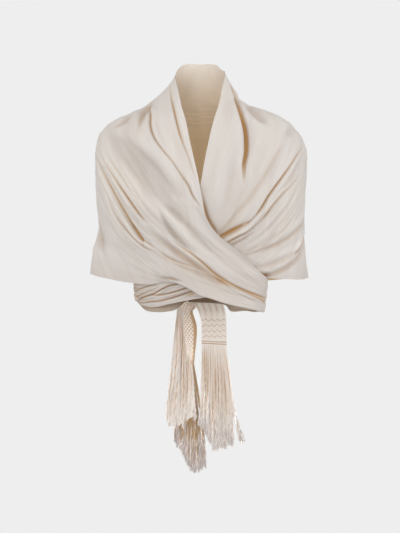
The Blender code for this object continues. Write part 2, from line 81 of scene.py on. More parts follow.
# Level rings of the waist, inside the arms. Their front depth is the cape's.
Waist = namedtuple("Waist", "height half_width back front_square back_square")
WAIST = (
    Waist(-100, 220, 117, 2.3, 2.3),
    Waist(-165, 219, 117, 2.2, 2.3),
    Waist(-215, 203, 112, 2.3, 2.3),
    Waist(-260, 174, 106, 2.6, 2.3),
    Waist(-300, 151, 100, 3.2, 2.3),
    Waist(-345, 137, 95, 4.0, 2.3),
    Waist(-385, 133, 92, 3.6, 2.3),
    Waist(-440, 127, 90, 3.0, 2.3),
)

# Sections across the web, from the middle of the back to the knot: a point on the neck edge,
# on the roll that carries the lowest fold, and on the hem. lift is how far the section stands
# off the figure, and tuck how far the flap below the roll is turned in behind it.
Section = namedtuple(
    "Section",
    "where edge_reach edge_height roll_reach roll_height hem_reach hem_height lift tuck",
)
BACK_SECTIONS = (
    Section("back", 0, 103, 0, -190, 0, -364, 0, 0),
    Section("back", 20, 103, 60, -192, 72, -363, 0, 0),
    Section("back", 34, 99, 125, -190, 145, -359, 0, 0),
)
OUTER_HALF = (
    *BACK_SECTIONS,
    Section("back", 46, 86, 182, -184, 204, -350, 0, 0),
    Section("front", 51, 71, 240, -176, 240, -344, 0, 0),
    Section("front", 42, 21, 215, -170, 226, -345, 0, 0),
    Section("front", 31.5, -21, 205, -188, 215, -349, 0, 0),
    Section("front", 21.5, -68, 187, -226, 190, -354, 1, 0),
    Section("front", 11.8, -112, 160, -268, 158, -360, 2.5, 0),
    Section("front", 3, -152, 126, -305, 124, -364, 4, 0),
    Section("front", -4, -190, 93, -330, 96, -366, 6, 0.05),
    Section("front", -12, -228, 63, -350, 68, -367, 8, 0.3),
    Section("front", -34, -261, 17, -376, 19, -390, 9, 0.85),
    Section("front", -64, -286, -15, -392, -15, -406, 9, 1),
    Section("front", -88, -309, -48, -403, -48, -417, 9, 1),
    Section("front", -114, -336, -82, -411, -82, -425, 8, 1),
    Section("front", -132, -352, -120, -421, -120, -435, 7, 1),
    Section("waist", -133, -358, -128, -424, -128, -436, 6, 0.9),
    Section("waist", -104, -361, -100, -421, -100, -424, 4, 0.1),
    Section("waist", -68, -366, -67, -421, -67, -425, 3, 0),
    Section("waist", -50, -374, -49, -406, -49, -410, 3, 0),
    Section("waist", 29.6, -386, 29.6, -402, 29.6, -405, 4, 0),
)
INNER_HALF = (
    *BACK_SECTIONS,
    Section("back", 46, 86, 182, -184, 204, -353, 0, 0),
    Section("front", 51, 71, 240, -176, 240, -353, 0, 0),
    Section("front", 42, 21, 217, -172, 223, -353, 0, 0),
    Section("front", 34, -10, 211, -190, 217, -355, 0, 0),
    Section("front", 21.5, -55, 198, -215, 204, -356, 0, 0),
    Section("front", 10.5, -108, 176, -255, 184, -355, -1, 0),
    Section("front", 3, -150, 150, -290, 162, -354, -2, 0),
    Section("front", -2, -180, 122, -316, 140, -353, -5, 0),
    Section("front", -14, -218, 92, -336, 108, -356, -8, 0),
    Section("front", -32, -252, 60, -354, 72, -372, -9, 0),
    Section("front", -55, -284, 28, -368, 34, -388, -9, 0),
    Section("front", -80, -314, -8, -380, 0, -394, -10, 0),
    Section("front", -103, -340, -45, -388, -36, -400, -11, 0),
    Section("front", -121, -354, -80, -393, -70, -407, -9, 0),
    Section("front", -131, -360, -116, -394, -104, -412, -2, 0),
    Section("waist", -134, -364, -131, -382, -131, -397, 6, 0),
    Section("waist", -112, -370, -110, -406, -109, -423, 5, 0),
    Section("waist", -63, -377, -61, -407, -60, -424, 4, 0),
    Section("waist", -30.2, -388, -30.2, -396, -30.2, -404, 4, 0),
)
HALVES = {"outer": OUTER_HALF, "inner": INNER_HALF}
ARM_SECTION = 4
FLANK_SECTION = 17

# Gathers where the web is drawn together behind the waist, counted across it. slope is the
# steepest slope of their sides, and drift how far they slant across the web in a section.
Gather = namedtuple("Gather", "half first_section count slope drift")
GATHERS = (
    Gather("outer", 15.5, 4.5, 0.75, 0.05),
    Gather("outer", 16.0, 9.3, 0.35, -0.07),
    Gather("inner", 16.3, 4.2, 0.75, 0.06),
    Gather("inner", 16.5, 8.7, 0.35, -0.05),
)

# Creases, by their line in the front or back view: x, height and strength of each point. width
# is half the width of the groove and depth its depth. lip is the height of the ridge on the
# right of the line as it runs, as a share of the depth, and on its left below zero. warm is how
# much painted golden shade the groove holds, and power how square its sides are. The tables give
# width, depth, lip and warm first.
Crease = namedtuple("Crease", "half side width depth lip warm line power", defaults=(2,))
OUTER_FRONT = (
    # collar inner
    (2.4, 5, -0.6, 1.15,
     ((-63, 53, 0.2), (-60, 22, 0.6), (-53, -9, 1), (-47, -35, 1.1), (-41, -58, 1.2), (-33, -82, 0.9),
      (-22, -111, 0.8), (-14, -137, 0.6), (-4, -158, 0.2))),
    # collar outer
    (2.2, 4.5, -0.5, 0.75,
     ((-111, 14, 0.5), (-103, -13, 1.2), (-102, -39, 1.2), (-94, -64, 1), (-77, -90, 0.8),
      (-59, -112, 0.7), (-41, -139, 0.7), (-24, -164, 0.9), (-14, -186, 0.9), (2, -210, 0.3))),
    # shoulder dent
    (6, 10, 0.2, 0.35,
     ((-108, 10, 1.1), (-118, -7, 1), (-123, -25, 0.7), (-129, -47, 0.2))),
    # shoulder dent small
    (4, 9, 0.2, 0.2,
     ((-143, -13, 0.3), (-155, -24, 1), (-167, -32, 0.8), (-182, -40, 0.1))),
    # broad upper
    (15, 15, 0.3, 0,
     ((-190, -48, 0.2), (-164, -82, 0.8), (-135, -116, 1), (-108, -145, 1), (-85, -174, 0.9),
      (-61, -202, 0.4), (-36, -226, 0.1))),
    # broad upper 2
    (9, 9, -0.4, 0,
     ((-160, -58, 0.1), (-129, -91, 0.6), (-98, -124, 1), (-69, -160, 0.8), (-45, -188, 0.3))),
    # middle
    (5, 9, -0.4, 0.1,
     ((-81, -218, 0.1), (-71, -236, 0.8), (-57, -257, 1.1), (-43, -273, 1), (-28, -287, 0.6),
      (-12, -303, 0.1))),
    # middle 2
    (6, 7, 0.3, 0.1,
     ((-75, -204, 0.2), (-55, -218, 0.9), (-32, -239, 0.9), (-6, -267, 0.6), (20, -295, 0.2))),
    # upper pleat
    (1.9, 3, 0.7, 0.85,
     ((-209, -91, 0.1), (-189, -124, 0.5), (-170, -154, 0.8), (-153, -179, 1.1), (-136, -203, 1.2),
      (-124, -220, 1.1), (-112, -236, 0.3))),
    # upper pleat 2
    (2.6, 3, 0.5, 0.3,
     ((-200, -84, 0.1), (-181, -114, 0.6), (-159, -146, 0.9), (-141, -173, 0.7), (-122, -200, 0.2))),
    # pocket
    (2.8, 6, 0.6, 0.8,
     ((-214, -103, 0.2), (-198, -138, 0.6), (-180, -172, 0.9), (-164, -201, 1), (-145, -232, 1.1),
      (-129, -258, 1.4), (-118, -273, 1.3), (-112, -279, 0.2))),
    # pocket tail
    (1.8, 3, 0.7, 0.6,
     ((-122, -268, 0.3), (-110, -277, 1), (-98, -285, 0.9), (-86, -293, 0.1))),
    # roll line
    (1.8, 4, 0.7, 0.55,
     ((-191, -184, 0.2), (-179, -213, 0.6), (-164, -237, 0.9), (-145, -258, 1.1), (-129, -275, 1.1),
      (-114, -287, 0.9), (-98, -297, 0.3))),
    # roll line, lower
    (1.9, 2.6, 0.6, 0.5,
     ((-92, -289, 0.1), (-74, -303, 0.8), (-54, -314, 1), (-26, -325, 0.9), (1, -333, 0.2))),
    # under ridge
    (6, 7, -0.5, 0.3,
     ((-102, -256, 0.1), (-77, -275, 0.6), (-51, -295, 1), (-24, -315, 1.1), (2, -332, 1.1),
      (24, -348, 1), (43, -360, 0.7))),
    # long groove
    (2.6, 4, 0.6, 0.85,
     ((-57, -273, 0.1), (-32, -291, 0.6), (-10, -307, 0.9), (10, -324, 1.1), (30, -342, 1.2),
      (53, -358, 1.2), (79, -372, 1.1), (106, -384, 1.1), (130, -393, 1))),
    # long groove 2
    (2.4, 3.5, -0.25, 0.8,
     ((20, -343, 0.1), (41, -358, 1.2), (65, -369, 0.9), (92, -381, 1), (115, -393, 1.1),
      (134, -404, 1.2))),
    # roll shade
    (5, 2, -0.5, 0.2,
     ((-102, -293, 0.3), (-75, -309, 0.8), (-41, -326, 0.9), (-4, -342, 0.8), (33, -358, 0.5),
      (61, -370, 0.1))),
    # flap mark
    (2.8, 7, 0.2, 0.6,
     ((-82, -350, 0.1), (-67, -353, 1.1), (-55, -354, 1), (-37, -358, 0.2))),
    # arm fold
    (7, 8, 0.3, 0.15,
     ((-214, -235, 0.2), (-212, -259, 1), (-208, -280, 1), (-203, -297, 0.3))),
    # band crease
    (5, 2.5, -0.2, 0,
     ((12, -362, 0.1), (51, -379, 0.8), (88, -391, 0.8), (128, -404, 0.4))),
)
INNER_FRONT = (
    # notch
    (2.6, 4, 0.3, 0.9,
     ((65, 50, 0.5), (71, 35, 1), (77, 22, 1), (81, 8, 0.4))),
    # deep crease
    (5, 11, 0.3, 1.1,
     ((75, 20, 0.4), (81, 3, 0.8), (88, -22, 0.9), (94, -47, 1.05), (96, -73, 1.1), (95, -96, 1),
      (91, -118, 0.8), (90, -135, 0.45), (90, -157, 0.1)), 4),
    # collar dimple
    (9, 3, 0, 0,
     ((62, 20, 0.2), (60, -3, 1), (57, -22, 0.7), (53, -41, 0.1))),
    # collar soft
    (9, 3, 0, 0.05,
     ((73, -112, 0.1), (63, -149, 0.7), (55, -186, 0.8), (40, -222, 0.3))),
    # shoulder
    (7, 11, 0.3, 0.12,
     ((104, 4, 0.9), (116, -10, 1), (128, -23, 0.8), (138, -33, 0.2))),
    # shoulder wave
    (7, 5, 0.4, 0,
     ((201, -34, 0.2), (188, -48, 1), (177, -58, 0.6), (166, -71, 0.1))),
    # soft long
    (5, 3.5, -0.4, 0.25,
     ((177, -64, 0.1), (162, -90, 0.6), (143, -126, 0.8), (122, -161, 0.8), (97, -196, 0.9),
      (75, -222, 0.8), (55, -247, 0.9), (39, -265, 0.8))),
    # main
    (2, 4.5, -0.8, 0.9,
     ((217, -74, 0.1), (202, -97, 0.6), (187, -120, 0.8), (170, -144, 1.1), (153, -167, 1.2),
      (138, -189, 1.2), (126, -210, 1.1), (112, -228, 0.7), (98, -242, 0.6))),
    # main wedge
    (4, 7, -0.5, 0.9,
     ((102, -238, 0.2), (87, -246, 0.8), (71, -255, 1.2), (57, -263, 1.2), (43, -271, 1))),
    # second
    (1.9, 3, 0.7, 0.6,
     ((202, -146, 0.1), (185, -166, 0.6), (166, -185, 0.9), (149, -205, 1.1), (137, -222, 1.2),
      (126, -234, 0.7), (106, -252, 0.5))),
    # second wedge
    (2.4, 5, 0.6, 0.7,
     ((114, -246, 0.1), (96, -261, 0.8), (79, -269, 1.1), (65, -277, 1.1), (55, -283, 0.9))),
    # third wedge
    (2.6, 4, 0.5, 0.45,
     ((114, -258, 0.1), (96, -271, 0.8), (79, -281, 1), (63, -289, 0.8))),
    # beside the overlap
    (3.6, 3, 0, 0.75,
     ((1, -172, 0.3), (8, -205, 0.9), (16, -232, 1.1), (30, -256, 1), (38, -266, 0.4))),
    # lower soft
    (4, 2.5, 0.5, 0.2,
     ((168, -258, 0.1), (147, -272, 0.8), (125, -287, 0.9), (100, -297, 0.5), (82, -303, 0.1))),
    # lower
    (4, 3.5, 0.6, 0.3,
     ((220, -229, 0.6), (207, -249, 1), (186, -268, 1), (158, -285, 1), (127, -297, 0.8),
      (96, -307, 0.4))),
    # lower deep
    (2.4, 5, 0.7, 0.8,
     ((219, -265, 0.6), (215, -280, 1.2), (208, -292, 1.2), (199, -301, 0.6))),
    # lower 2
    (4.5, 2.5, 0.5, 0.2,
     ((208, -292, 0.3), (186, -309, 0.8), (161, -319, 0.9), (131, -330, 0.8), (102, -334, 0.3))),
    # flap line
    (4, 5, 0.5, 0.25,
     ((220, -286, 0.3), (204, -311, 0.9), (182, -330, 1), (158, -342, 1), (140, -348, 1))),
    # flap pocket
    (3.4, 6, 0.4, 0.75,
     ((148, -346, 0.2), (137, -347, 1.2), (125, -347, 1.2))),
    # pleat 1
    (1.4, 3, 0.6, 0.7,
     ((-140, -397, 0.4), (-134, -382, 1), (-121, -373, 1), (-108, -369, 0.8), (-94, -366, 0.3))),
    # pleat 2
    (1.4, 3.2, 0.6, 0.7,
     ((-138, -401, 0.3), (-128, -390, 1), (-115, -383, 1), (-100, -377, 0.6), (-86, -370, 0.2))),
    # pleat 3
    (1.4, 4, 0.8, 0.95,
     ((-128, -402, 0.8), (-119, -393, 1.2), (-102, -387, 1.2), (-86, -379, 1.2), (-67, -370, 1.1),
      (-49, -365, 1), (-35, -360, 0.8))),
    # pleat 4
    (1.4, 4, 0.8, 0.95,
     ((-108, -388, 0.4), (-90, -388, 1.1), (-69, -385, 1.1), (-49, -380, 1.1), (-31, -374, 1.1),
      (-14, -368, 0.8))),
    # pleat 5
    (1.4, 4, 0.8, 0.95,
     ((-124, -404, 0.5), (-104, -402, 1), (-84, -400, 1.1), (-61, -394, 1.2), (-39, -387, 1.2),
      (-18, -380, 1.1), (0, -372, 0.8))),
    # pleat 6
    (2.4, 3, 0.3, 0.7,
     ((-33, -391, 0.1), (-20, -386, 1), (-8, -381, 1), (8, -374, 0.4))),
)
BACK = (
    # down from the collar, left
    (9, 5, 0.5, 0.1,
     ((-26, 78, 0.2), (-40, 30, 0.7), (-58, -30, 1), (-84, -100, 0.9), (-118, -170, 0.5),
      (-140, -220, 0.1))),
    # down from the collar, right
    (9, 5, -0.5, 0.1,
     ((30, 74, 0.2), (47, 25, 0.8), (62, -40, 1), (80, -110, 0.8), (98, -180, 0.4), (110, -230, 0.1))),
    # middle, long
    (12, 4, 0.4, 0,
     ((-6, 60, 0.2), (-2, -10, 0.7), (8, -90, 0.9), (2, -170, 0.8), (-10, -250, 0.5), (-14, -310, 0.1))),
    # left shoulder sweep
    (4, 8, 0.6, 0.5,
     ((-176, -30, 0.3), (-150, -80, 1), (-112, -140, 1.1), (-66, -200, 0.9), (-20, -242, 0.6),
      (30, -266, 0.2))),
    # left shoulder sweep, lower
    (4, 7, 0.7, 0.4,
     ((-200, -76, 0.2), (-176, -130, 0.8), (-138, -196, 1.1), (-92, -252, 0.9), (-44, -292, 0.5),
      (-8, -312, 0.1))),
    # left, near the arm
    (6, 6, 0.5, 0.3,
     ((-208, -130, 0.2), (-194, -190, 0.8), (-168, -250, 1), (-134, -304, 0.7), (-108, -338, 0.2))),
    # right shoulder sweep
    (4, 8, -0.6, 0.5,
     ((170, -26, 0.3), (148, -74, 0.9), (118, -130, 1.1), (80, -186, 1), (40, -228, 0.6),
      (4, -252, 0.2))),
    # right shoulder sweep, lower
    (4, 6, -0.7, 0.4,
     ((202, -84, 0.2), (182, -140, 0.9), (150, -204, 1), (108, -262, 0.8), (70, -306, 0.4),
      (50, -334, 0.1))),
    # right, near the arm
    (7, 6, -0.5, 0.3,
     ((212, -150, 0.2), (200, -214, 0.8), (176, -276, 0.9), (150, -326, 0.5), (138, -352, 0.1))),
    # above the hem, left
    (10, 4, 0.4, 0,
     ((-60, -300, 0.1), (-76, -330, 0.8), (-84, -358, 1), (-88, -376, 0.8))),
    # above the hem, middle
    (11, 5, 0.4, 0,
     ((10, -290, 0.1), (16, -325, 0.8), (12, -355, 1), (10, -376, 0.9))),
    # above the hem, right
    (9, 4, -0.4, 0,
     ((92, -296, 0.1), (98, -330, 0.7), (104, -356, 1), (108, -374, 0.8))),
)
CREASES = [
    Crease(half, side, *row)
    for half, side, rows in (
        ("outer", "front", OUTER_FRONT),
        ("inner", "front", INNER_FRONT),
        ("both", "back", BACK),
    )
    for row in rows
]

# Fans of finer creases between two lines, from which the rest are spaced unevenly.
Fan = namedtuple("Fan", "half side width depth lip warm count first last")
FANS = (
    Fan("outer", "front", 3, 2.5, 0.6, 0.12, 8,
        ((-216, -112), (-190, -170), (-150, -235), (-95, -290)),
        ((-170, -60), (-120, -130), (-70, -200), (-10, -262))),
    Fan("outer", "front", 4.5, 1.6, -0.5, 0.05, 4,
        ((-56, 60), (-48, 0), (-30, -75), (-10, -135)),
        ((-98, 10), (-88, -60), (-50, -120), (-14, -180))),
    Fan("outer", "front", 7, 4, 0.4, 0.03, 5,
        ((-20, -190), (20, -240), (70, -290), (120, -340)),
        ((-60, -270), (0, -310), (60, -355), (125, -388))),
    Fan("outer", "front", 3.2, 1.7, 0.5, 0.1, 4,
        ((-110, -284), (-40, -320), (40, -358), (120, -394)),
        ((-60, -326), (0, -350), (60, -377), (125, -409))),
    Fan("outer", "front", 9, 2.4, 0.3, 0, 3,
        ((-200, -200), (-170, -255), (-120, -300), (-70, -330)),
        ((-215, -270), (-180, -300), (-140, -330), (-90, -345))),
    Fan("inner", "front", 3.2, 1.8, 0.6, 0.12, 9,
        ((216, -84), (180, -150), (130, -222), (75, -272)),
        ((219, -190), (190, -255), (140, -300), (90, -330))),
    Fan("inner", "front", 5.5, 2.2, -0.5, 0.03, 5,
        ((150, -40), (120, -110), (90, -170), (50, -235)),
        ((205, -60), (170, -125), (130, -180), (80, -240))),
    Fan("inner", "front", 7, 2, 0.3, 0, 4,
        ((60, 40), (62, -40), (50, -120), (30, -200)),
        ((100, 10), (112, -60), (96, -140), (60, -220))),
    Fan("both", "back", 6, 2.8, 0.5, 0.08, 6,
        ((-190, -60), (-150, -150), (-90, -230), (-20, -280)),
        ((-60, 20), (-50, -80), (-30, -180), (0, -260))),
    Fan("both", "back", 6, 2.8, -0.5, 0.08, 6,
        ((188, -66), (150, -160), (100, -240), (40, -292)),
        ((64, 16), (56, -84), (40, -176), (22, -250))),
    Fan("both", "back", 8, 2.2, 0.4, 0, 7,
        ((-160, -270), (-166, -300), (-170, -330), (-172, -360)),
        ((150, -280), (156, -310), (160, -335), (162, -365))),
)

# The knot: an upright bun of wrapped net over a core. Each turn is tilted, then leaned, and has
# a size, and is a band of cords with beads along them. CORD is half a cord's thickness.
CORD = 1.05
KNOT_CENTRE = (-30, 112.4, -408)
KNOT_HALF = (22, 18.5, 20.5)
KNOT_CORE = 0.72
KNOT_CORE_CORD = 4.0
KNOT_BAND_CORDS = 6
KNOT_BEADS = 15
KNOT_PLACES = 140
KNOT_CORE_RINGS = 9
KNOT_CORE_END = 1.3
KNOT_TURNS = ((0.15, 0.5, 1.0), (1.25, -0.35, 0.97), (2.2, 0.3, 0.95), (-0.5, -0.6, 0.9))

# The flat end: levels of a net folded once lengthwise. depth is that of its near layer. The
# chevron lines are given by their middle heights, and the cords across the foot by height, half
# thickness and painted golden shade. The folds below the knot fade to none at LOOSE_FOOT, and the
# meshes lie between MESH_TOP and MESH_FOOT. The cords in front and behind end at their own FOOT.
Level = namedtuple("Level", "height left right depth")
FLAT_NET = (
    Level(-388, -17, 22, 98.5),
    Level(-401, -12, 38, 98.5),
    Level(-412, -9, 48, 98.5),
    Level(-426, -3, 52.5, 98.8),
    Level(-446, 2.5, 54.5, 99.5),
    Level(-470, 3.8, 55.2, 100),
    Level(-499, 5, 56, 100),
)
CHEVRON_WIDTH = 12.6
CHEVRON_RISE = 2.7
CHEVRON_LINES = (-444, -455.5, -467.5, -479.5)
CROSS_CORDS = (
    (-484.2, 1.2, 0.0), (-487.0, 1.3, 0.0), (-489.6, 1.0, 0.9),
    (-491.9, 1.25, 0.0), (-494.4, 1.0, 0.9), (-497.0, 1.4, 0.0),
)
CHEVRON_GROOVE = 1.25
NET_LAYER_GAP = 3.4
LOOSE_FOOT = -446
LOOSE_HEIGHT = 30
UPRIGHT_CORDS = 26
UPRIGHT_FOOT = -491
BEHIND_CORDS = 20
BEHIND_FOOT = -498
MESH_TOP = -438
MESH_FOOT = -484
MESH_HEIGHT = 5.8

# The twisted end: levels of the leaf of net that hangs under the knot.
LEAF = (
    Level(-424, -36, -18, 107),
    Level(-434, -37, -16, 106),
    Level(-444, -36.5, -12.5, 106),
    Level(-456, -35.5, -9.5, 106),
    Level(-470, -34, -8.6, 106),
    Level(-486, -31.5, -9.5, 106),
    Level(-506, -28, -11.5, 107),
    Level(-526, -23, -13.5, 108),
    Level(-542, -18.5, -15, 108),
)
LEAF_HALF_DEPTH = 7
LEAF_CORDS = 11
LEAF_CORE_CORDS = 30

# Fringes: root and tip lines from one side to the other, as x, y and height of each place,
# with the number of locks and of strands in a lock. bulge is how far the strands bow to the
# right, stray how far the last lock strays there, shade how much painted golden shade they hold
# at the root, and tip_shade at the tip, where it is painted lilac shade below zero. STRAND is half
# a strand's thickness, and a lock at its tip is TIP_WIDTH of its share of the tip line.
STRAND = 0.88
STRAND_PLACES = 30
ROOT_PLACES = 200
TIP_WIDTH = 0.93
Fringe = namedtuple("Fringe", "name nodes locks strands roots tips bulge stray shade tip_shade")
FRINGES = (
    Fringe(
        "fringe_flat_front", ("fringe_flat_near",), 13, 15,
        ((5, 99, -498), (30, 99, -499), (56, 99, -500)),
        ((-4, 97, -673), (6, 96, -675), (12, 95, -690), (20, 95, -712), (31, 95, -719), (43, 95, -712),
         (55, 95, -717), (67, 96, -717), (80, 97, -708)),
        1.5, 15, 0.06, -0.55,
    ),
    Fringe(
        "fringe_flat_rear", ("fringe_flat_far",), 9, 14,
        ((6, 104, -497), (30, 104, -498), (55, 104, -499)),
        ((-1, 107, -664), (24, 108, -704), (48, 108, -700), (71, 107, -706)),
        1.5, 0, 0.7, 0.1,
    ),
    Fringe(
        "fringe_twist_front", ("fringe_twist_near",), 15, 13,
        ((-48, 106, -416), (-45, 104, -418), (-40, 105, -424), (-37, 109, -456), (-32, 109, -486),
         (-27, 109, -514), (-17, 109, -539)),
        ((-73, 95, -661), (-64, 93, -665), (-57, 92, -668), (-46, 92, -670), (-38, 92, -667),
         (-30, 92, -652), (-19, 93, -650), (-8, 94, -650)),
        1.0, 0, 0.0, -0.1,
    ),
    Fringe(
        "fringe_twist_rear", ("fringe_twist_far",), 13, 17,
        ((-46, 115, -428), (-38, 116, -456), (-27, 117, -500), (-14, 114, -538)),
        ((-58, 121, -708), (-50, 122, -716), (-40, 122, -734), (-28, 122, -754), (-16, 122, -766),
         (-3, 121, -770), (10, 119, -764), (13, 119, -746)),
        4.0, 0, 0.9, -0.7,
    ),
)

# The halves' rows across the web, and columns along each stretch of it.
ROWS = 256
BACK_COLUMNS = 182
FRONT_COLUMNS = 186
WAIST_ROWS = 150
WAIST_COLUMNS = 60

# Colours, linear.
CREAM_WARM = (0.705, 0.657, 0.602)
CREAM_COOL = (0.685, 0.64, 0.62)
# painted highlight, on ridges and in broad sheen patches
CREAM_PAINTED_HIGHLIGHT = (0.81, 0.77, 0.72)
# painted shade, in grooves, in broad patches and towards the bottom
CREAM_SHADE = (0.53, 0.475, 0.43)
CREAM_STREAK = (0.63, 0.565, 0.50)
# painted golden shade, standing in for warm light bounced inside the creases
CREASE_GOLDEN_SHADE = (0.51, 0.285, 0.10)
# painted light on the lining of the collar and the cape
LINING_PAINTED_LIGHT = (0.88, 0.82, 0.76)
# painted golden shade inside the collar, deeper further down
LINING_GOLDEN_SHADE = (0.98, 0.83, 0.62)
# painted shadow on the waist's lining under the front band
LINING_SHADE = (0.20, 0.135, 0.085)
NET_LIGHT = (0.95, 0.91, 0.87)
NET_DEEP = (0.92, 0.86, 0.80)
# painted golden shade between and behind the net's cords
NET_GOLDEN_SHADE = (0.56, 0.38, 0.22)
FRINGE_LIGHT = (0.97, 0.935, 0.90)
FRINGE_DEEP = (0.93, 0.87, 0.815)
# painted golden shade in the fringe's gaps and at its roots
FRINGE_GOLDEN_SHADE = (0.54, 0.35, 0.18)
# painted lilac shade towards the fringe's tips
TIP_SHADE = (0.38, 0.315, 0.30)
BACKGROUND = (0.855, 0.855, 0.855)

# The studio, in metres: the camera is level, and the view's half height is at the origin. A
# light has a place, an aim, a size, a spread in degrees, a power and a colour. The floor bends
# up beyond its radius, and MIDDLE is the radius of the holes at the surround's two ends.
FLOOR = -0.9
CAMERA_DISTANCE = 3.6
CAMERA_HEIGHT = -0.3287
VIEW_HALF_HEIGHT = 0.55965
AMBIENT = (1.0, 0.985, 0.97)
AMBIENT_STRENGTH = 0.6
FLOOR_RADIUS = 5.5
FLOOR_BEND = 3
MIDDLE = 0.001
SURROUND_SIDES = 64
LIGHTS = (
    ("key", (-1.6, -2.9, 0.9), (0, 0, -0.35), (1.8, 1.8), 180, 21.5, (1.0, 0.99, 0.98)),
    ("left_side", (-3.0, -1.0, 0.2), (0, 0, -0.3), (1.6, 2.2), 180, 13, (1.0, 0.99, 0.98)),
    ("right_side", (3.0, -1.4, 0.3), (0, 0, -0.3), (1.6, 2.2), 180, 31, (0.97, 0.98, 1.0)),
    ("low_front", (0.5, -3.3, -1.0), (0, 0, -0.55), (1.8, 1.2), 180, 8, (1.0, 0.98, 0.96)),
    ("fringe_pool", (0.25, -3.0, -0.8), (0, 0.1, -0.62), (0.3, 0.3), 8, 0.135, (1.0, 0.99, 0.98)),
    ("top", (0, -1.3, 2.2), (0, 0, -0.1), (2.0, 1.4), 180, 8, (1.0, 1.0, 1.0)),
)

# How strongly the gathers show in the relief, which paints highlight and shade, and in the
# painted golden shade, and the share of the web beside the neck edge in which creases fade.
GATHER_RELIEF = 0.8
GATHER_GLOW = 0.7
EDGE_SHARE = 0.09

# A ring's outline passes straight through its middles over this share of its width. Working
# back from a reach takes this many rounds.
EASE = 0.1
EASE_ROUNDS = 30

# The profile of a crease, in half widths from its line: the groove's core and its wider tail,
# and the ridge beside it. LINE_STEPS is the number of places for each point of the line.
LINE_STEPS = 7
GROOVE_TAIL = 0.28
TAIL_WIDTH = 2.6
RIDGE_PLACE = 2.6
RIDGE_WIDTH = 1.6
FAR_FROM_LINE = 4.0
THIN_CREASE = 3
# FULL_RELIEF is how far a crease moves the cloth, in millimetres, for the full painted highlight and shade
# of the relief.
FULL_RELIEF = 7.0
FAN_PLACES = 9

# Faint lengthwise waves of the satin: length across it and height in millimetres, drift across
# it in a section, sections in a sway, and phase.
RIPPLES = (
    (9.0, 0.10, 0.31, 3.1, 0.2),
    (13.0, 0.16, -0.22, 4.3, 1.9),
    (19.0, 0.26, 0.17, 5.7, 4.4),
    (31.0, 0.42, -0.11, 7.9, 2.7),
)
WEB_WIDTH = 420


def curve(knots, values, at):
    """Values on a smooth curve through the rows, at the given places along them."""
    knots, values, at = (np.asarray(numbers, float) for numbers in (knots, values, at))
    slope = np.gradient(values, knots, axis=0)
    row = np.clip(np.searchsorted(knots, at, side="right") - 1, 0, len(knots) - 2)
    gap = knots[row + 1] - knots[row]
    t = (at - knots[row]) / gap
    if values.ndim > 1:
        gap, t = gap[..., None], t[..., None]
    placed = values[row] * (2 * t**3 - 3 * t**2 + 1) + values[row + 1] * (3 * t**2 - 2 * t**3)
    leaning = slope[row] * (t**3 - 2 * t**2 + t) + slope[row + 1] * (t**3 - t**2)
    return placed + leaning * gap


def through(points, count):
    """Evenly counted places on a smooth curve through a few points."""
    return curve(range(len(points)), points, np.linspace(0, len(points) - 1, count))


def column(rows, name, height):
    """One column of a table of levels, at a height."""
    knots = [-row.height for row in rows]
    return curve(knots, [getattr(row, name) for row in rows], -np.asarray(height, float))


def smooth(share):
    share = np.clip(share, 0, 1)
    return share * share * (3 - 2 * share)


def unit(vectors):
    return vectors / np.maximum(np.linalg.norm(vectors, axis=-1, keepdims=True), 1e-9)


def run_table(half):
    """Heights down the outside of an arm, and the distance run over the cloth to each."""
    height = np.linspace(CAPE[0].height, CAPE[-1].height, 400)
    width = column(CAPE, half + "_width", height)
    return height, np.concatenate([[0], np.cumsum(np.hypot(np.diff(height), np.diff(width)))])


def easing(value, power):
    return ((value**2 + EASE**2) / (1 + EASE**2)) ** ((power - 1) / 2)


def eased(value, power):
    """A value from 0 to 1 to a power under 1, but straight through zero, so that points that are
    evenly spaced there stay so."""
    return value * easing(value, power)


def ring_value(cape, half, name, height):
    """A column of the cape's rings where cape is true, and of the waist's elsewhere."""
    own = column(CAPE, half + "_width" if name == "half_width" else name, height)
    return np.where(cape, own, column(WAIST, name, height))


def form(half, turn, height):
    """Point of the figure. turn is in radians from the front, positive towards the half's own
    arm, and negative where the cloth goes round the waist under the other arm."""
    cape = turn >= 0
    facing = np.cos(turn) >= 0
    width, front, back, deep = (
        ring_value(cape, half, name, height)
        for name in ("half_width", "front_square", "back_square", "back")
    )
    power = 2 / np.where(facing, front, back)
    depth = np.where(facing, -column(CAPE, "front", height), deep)
    reach = width * eased(np.sin(turn), power)
    return np.stack([reach, depth * eased(np.abs(np.cos(turn)), power), height], axis=-1)


def form_normal(half, turn, height):
    """Outward direction of the figure's surface."""
    near, far = 0.02, 1.5
    across = form(half, turn + near, height) - form(half, turn - near, height)
    down = form(half, turn, height - far) - form(half, turn, height + far)
    return unit(np.cross(down, across))


def angle_of(share, square):
    """The angle from the middle of the front or back at which a ring has this share of its
    width."""
    share = np.minimum(np.abs(share), 1)
    sine = share
    for _ in range(EASE_ROUNDS):
        sine = share / easing(sine, 2 / square)
    return np.arcsin(np.minimum(sine, 1))


def front_turns(half, reach, height):
    """The turns at which the figure's front has these reaches."""
    own = reach >= 0
    width = ring_value(own, half, "half_width", height)
    return np.sign(reach) * angle_of(reach / width, ring_value(own, half, "front_square", height))


def turn_at(half, where, reach, height):
    """The turn at which the figure has this reach."""
    if where == "front":
        return float(front_turns(half, np.array(reach), height))
    own = where == "back"
    width = ring_value(own, half, "half_width", height)
    angle = float(angle_of(reach / width, ring_value(own, half, "back_square", height)))
    if own:
        return math.pi - angle
    return -math.pi + angle if reach < 0 else -math.pi - angle


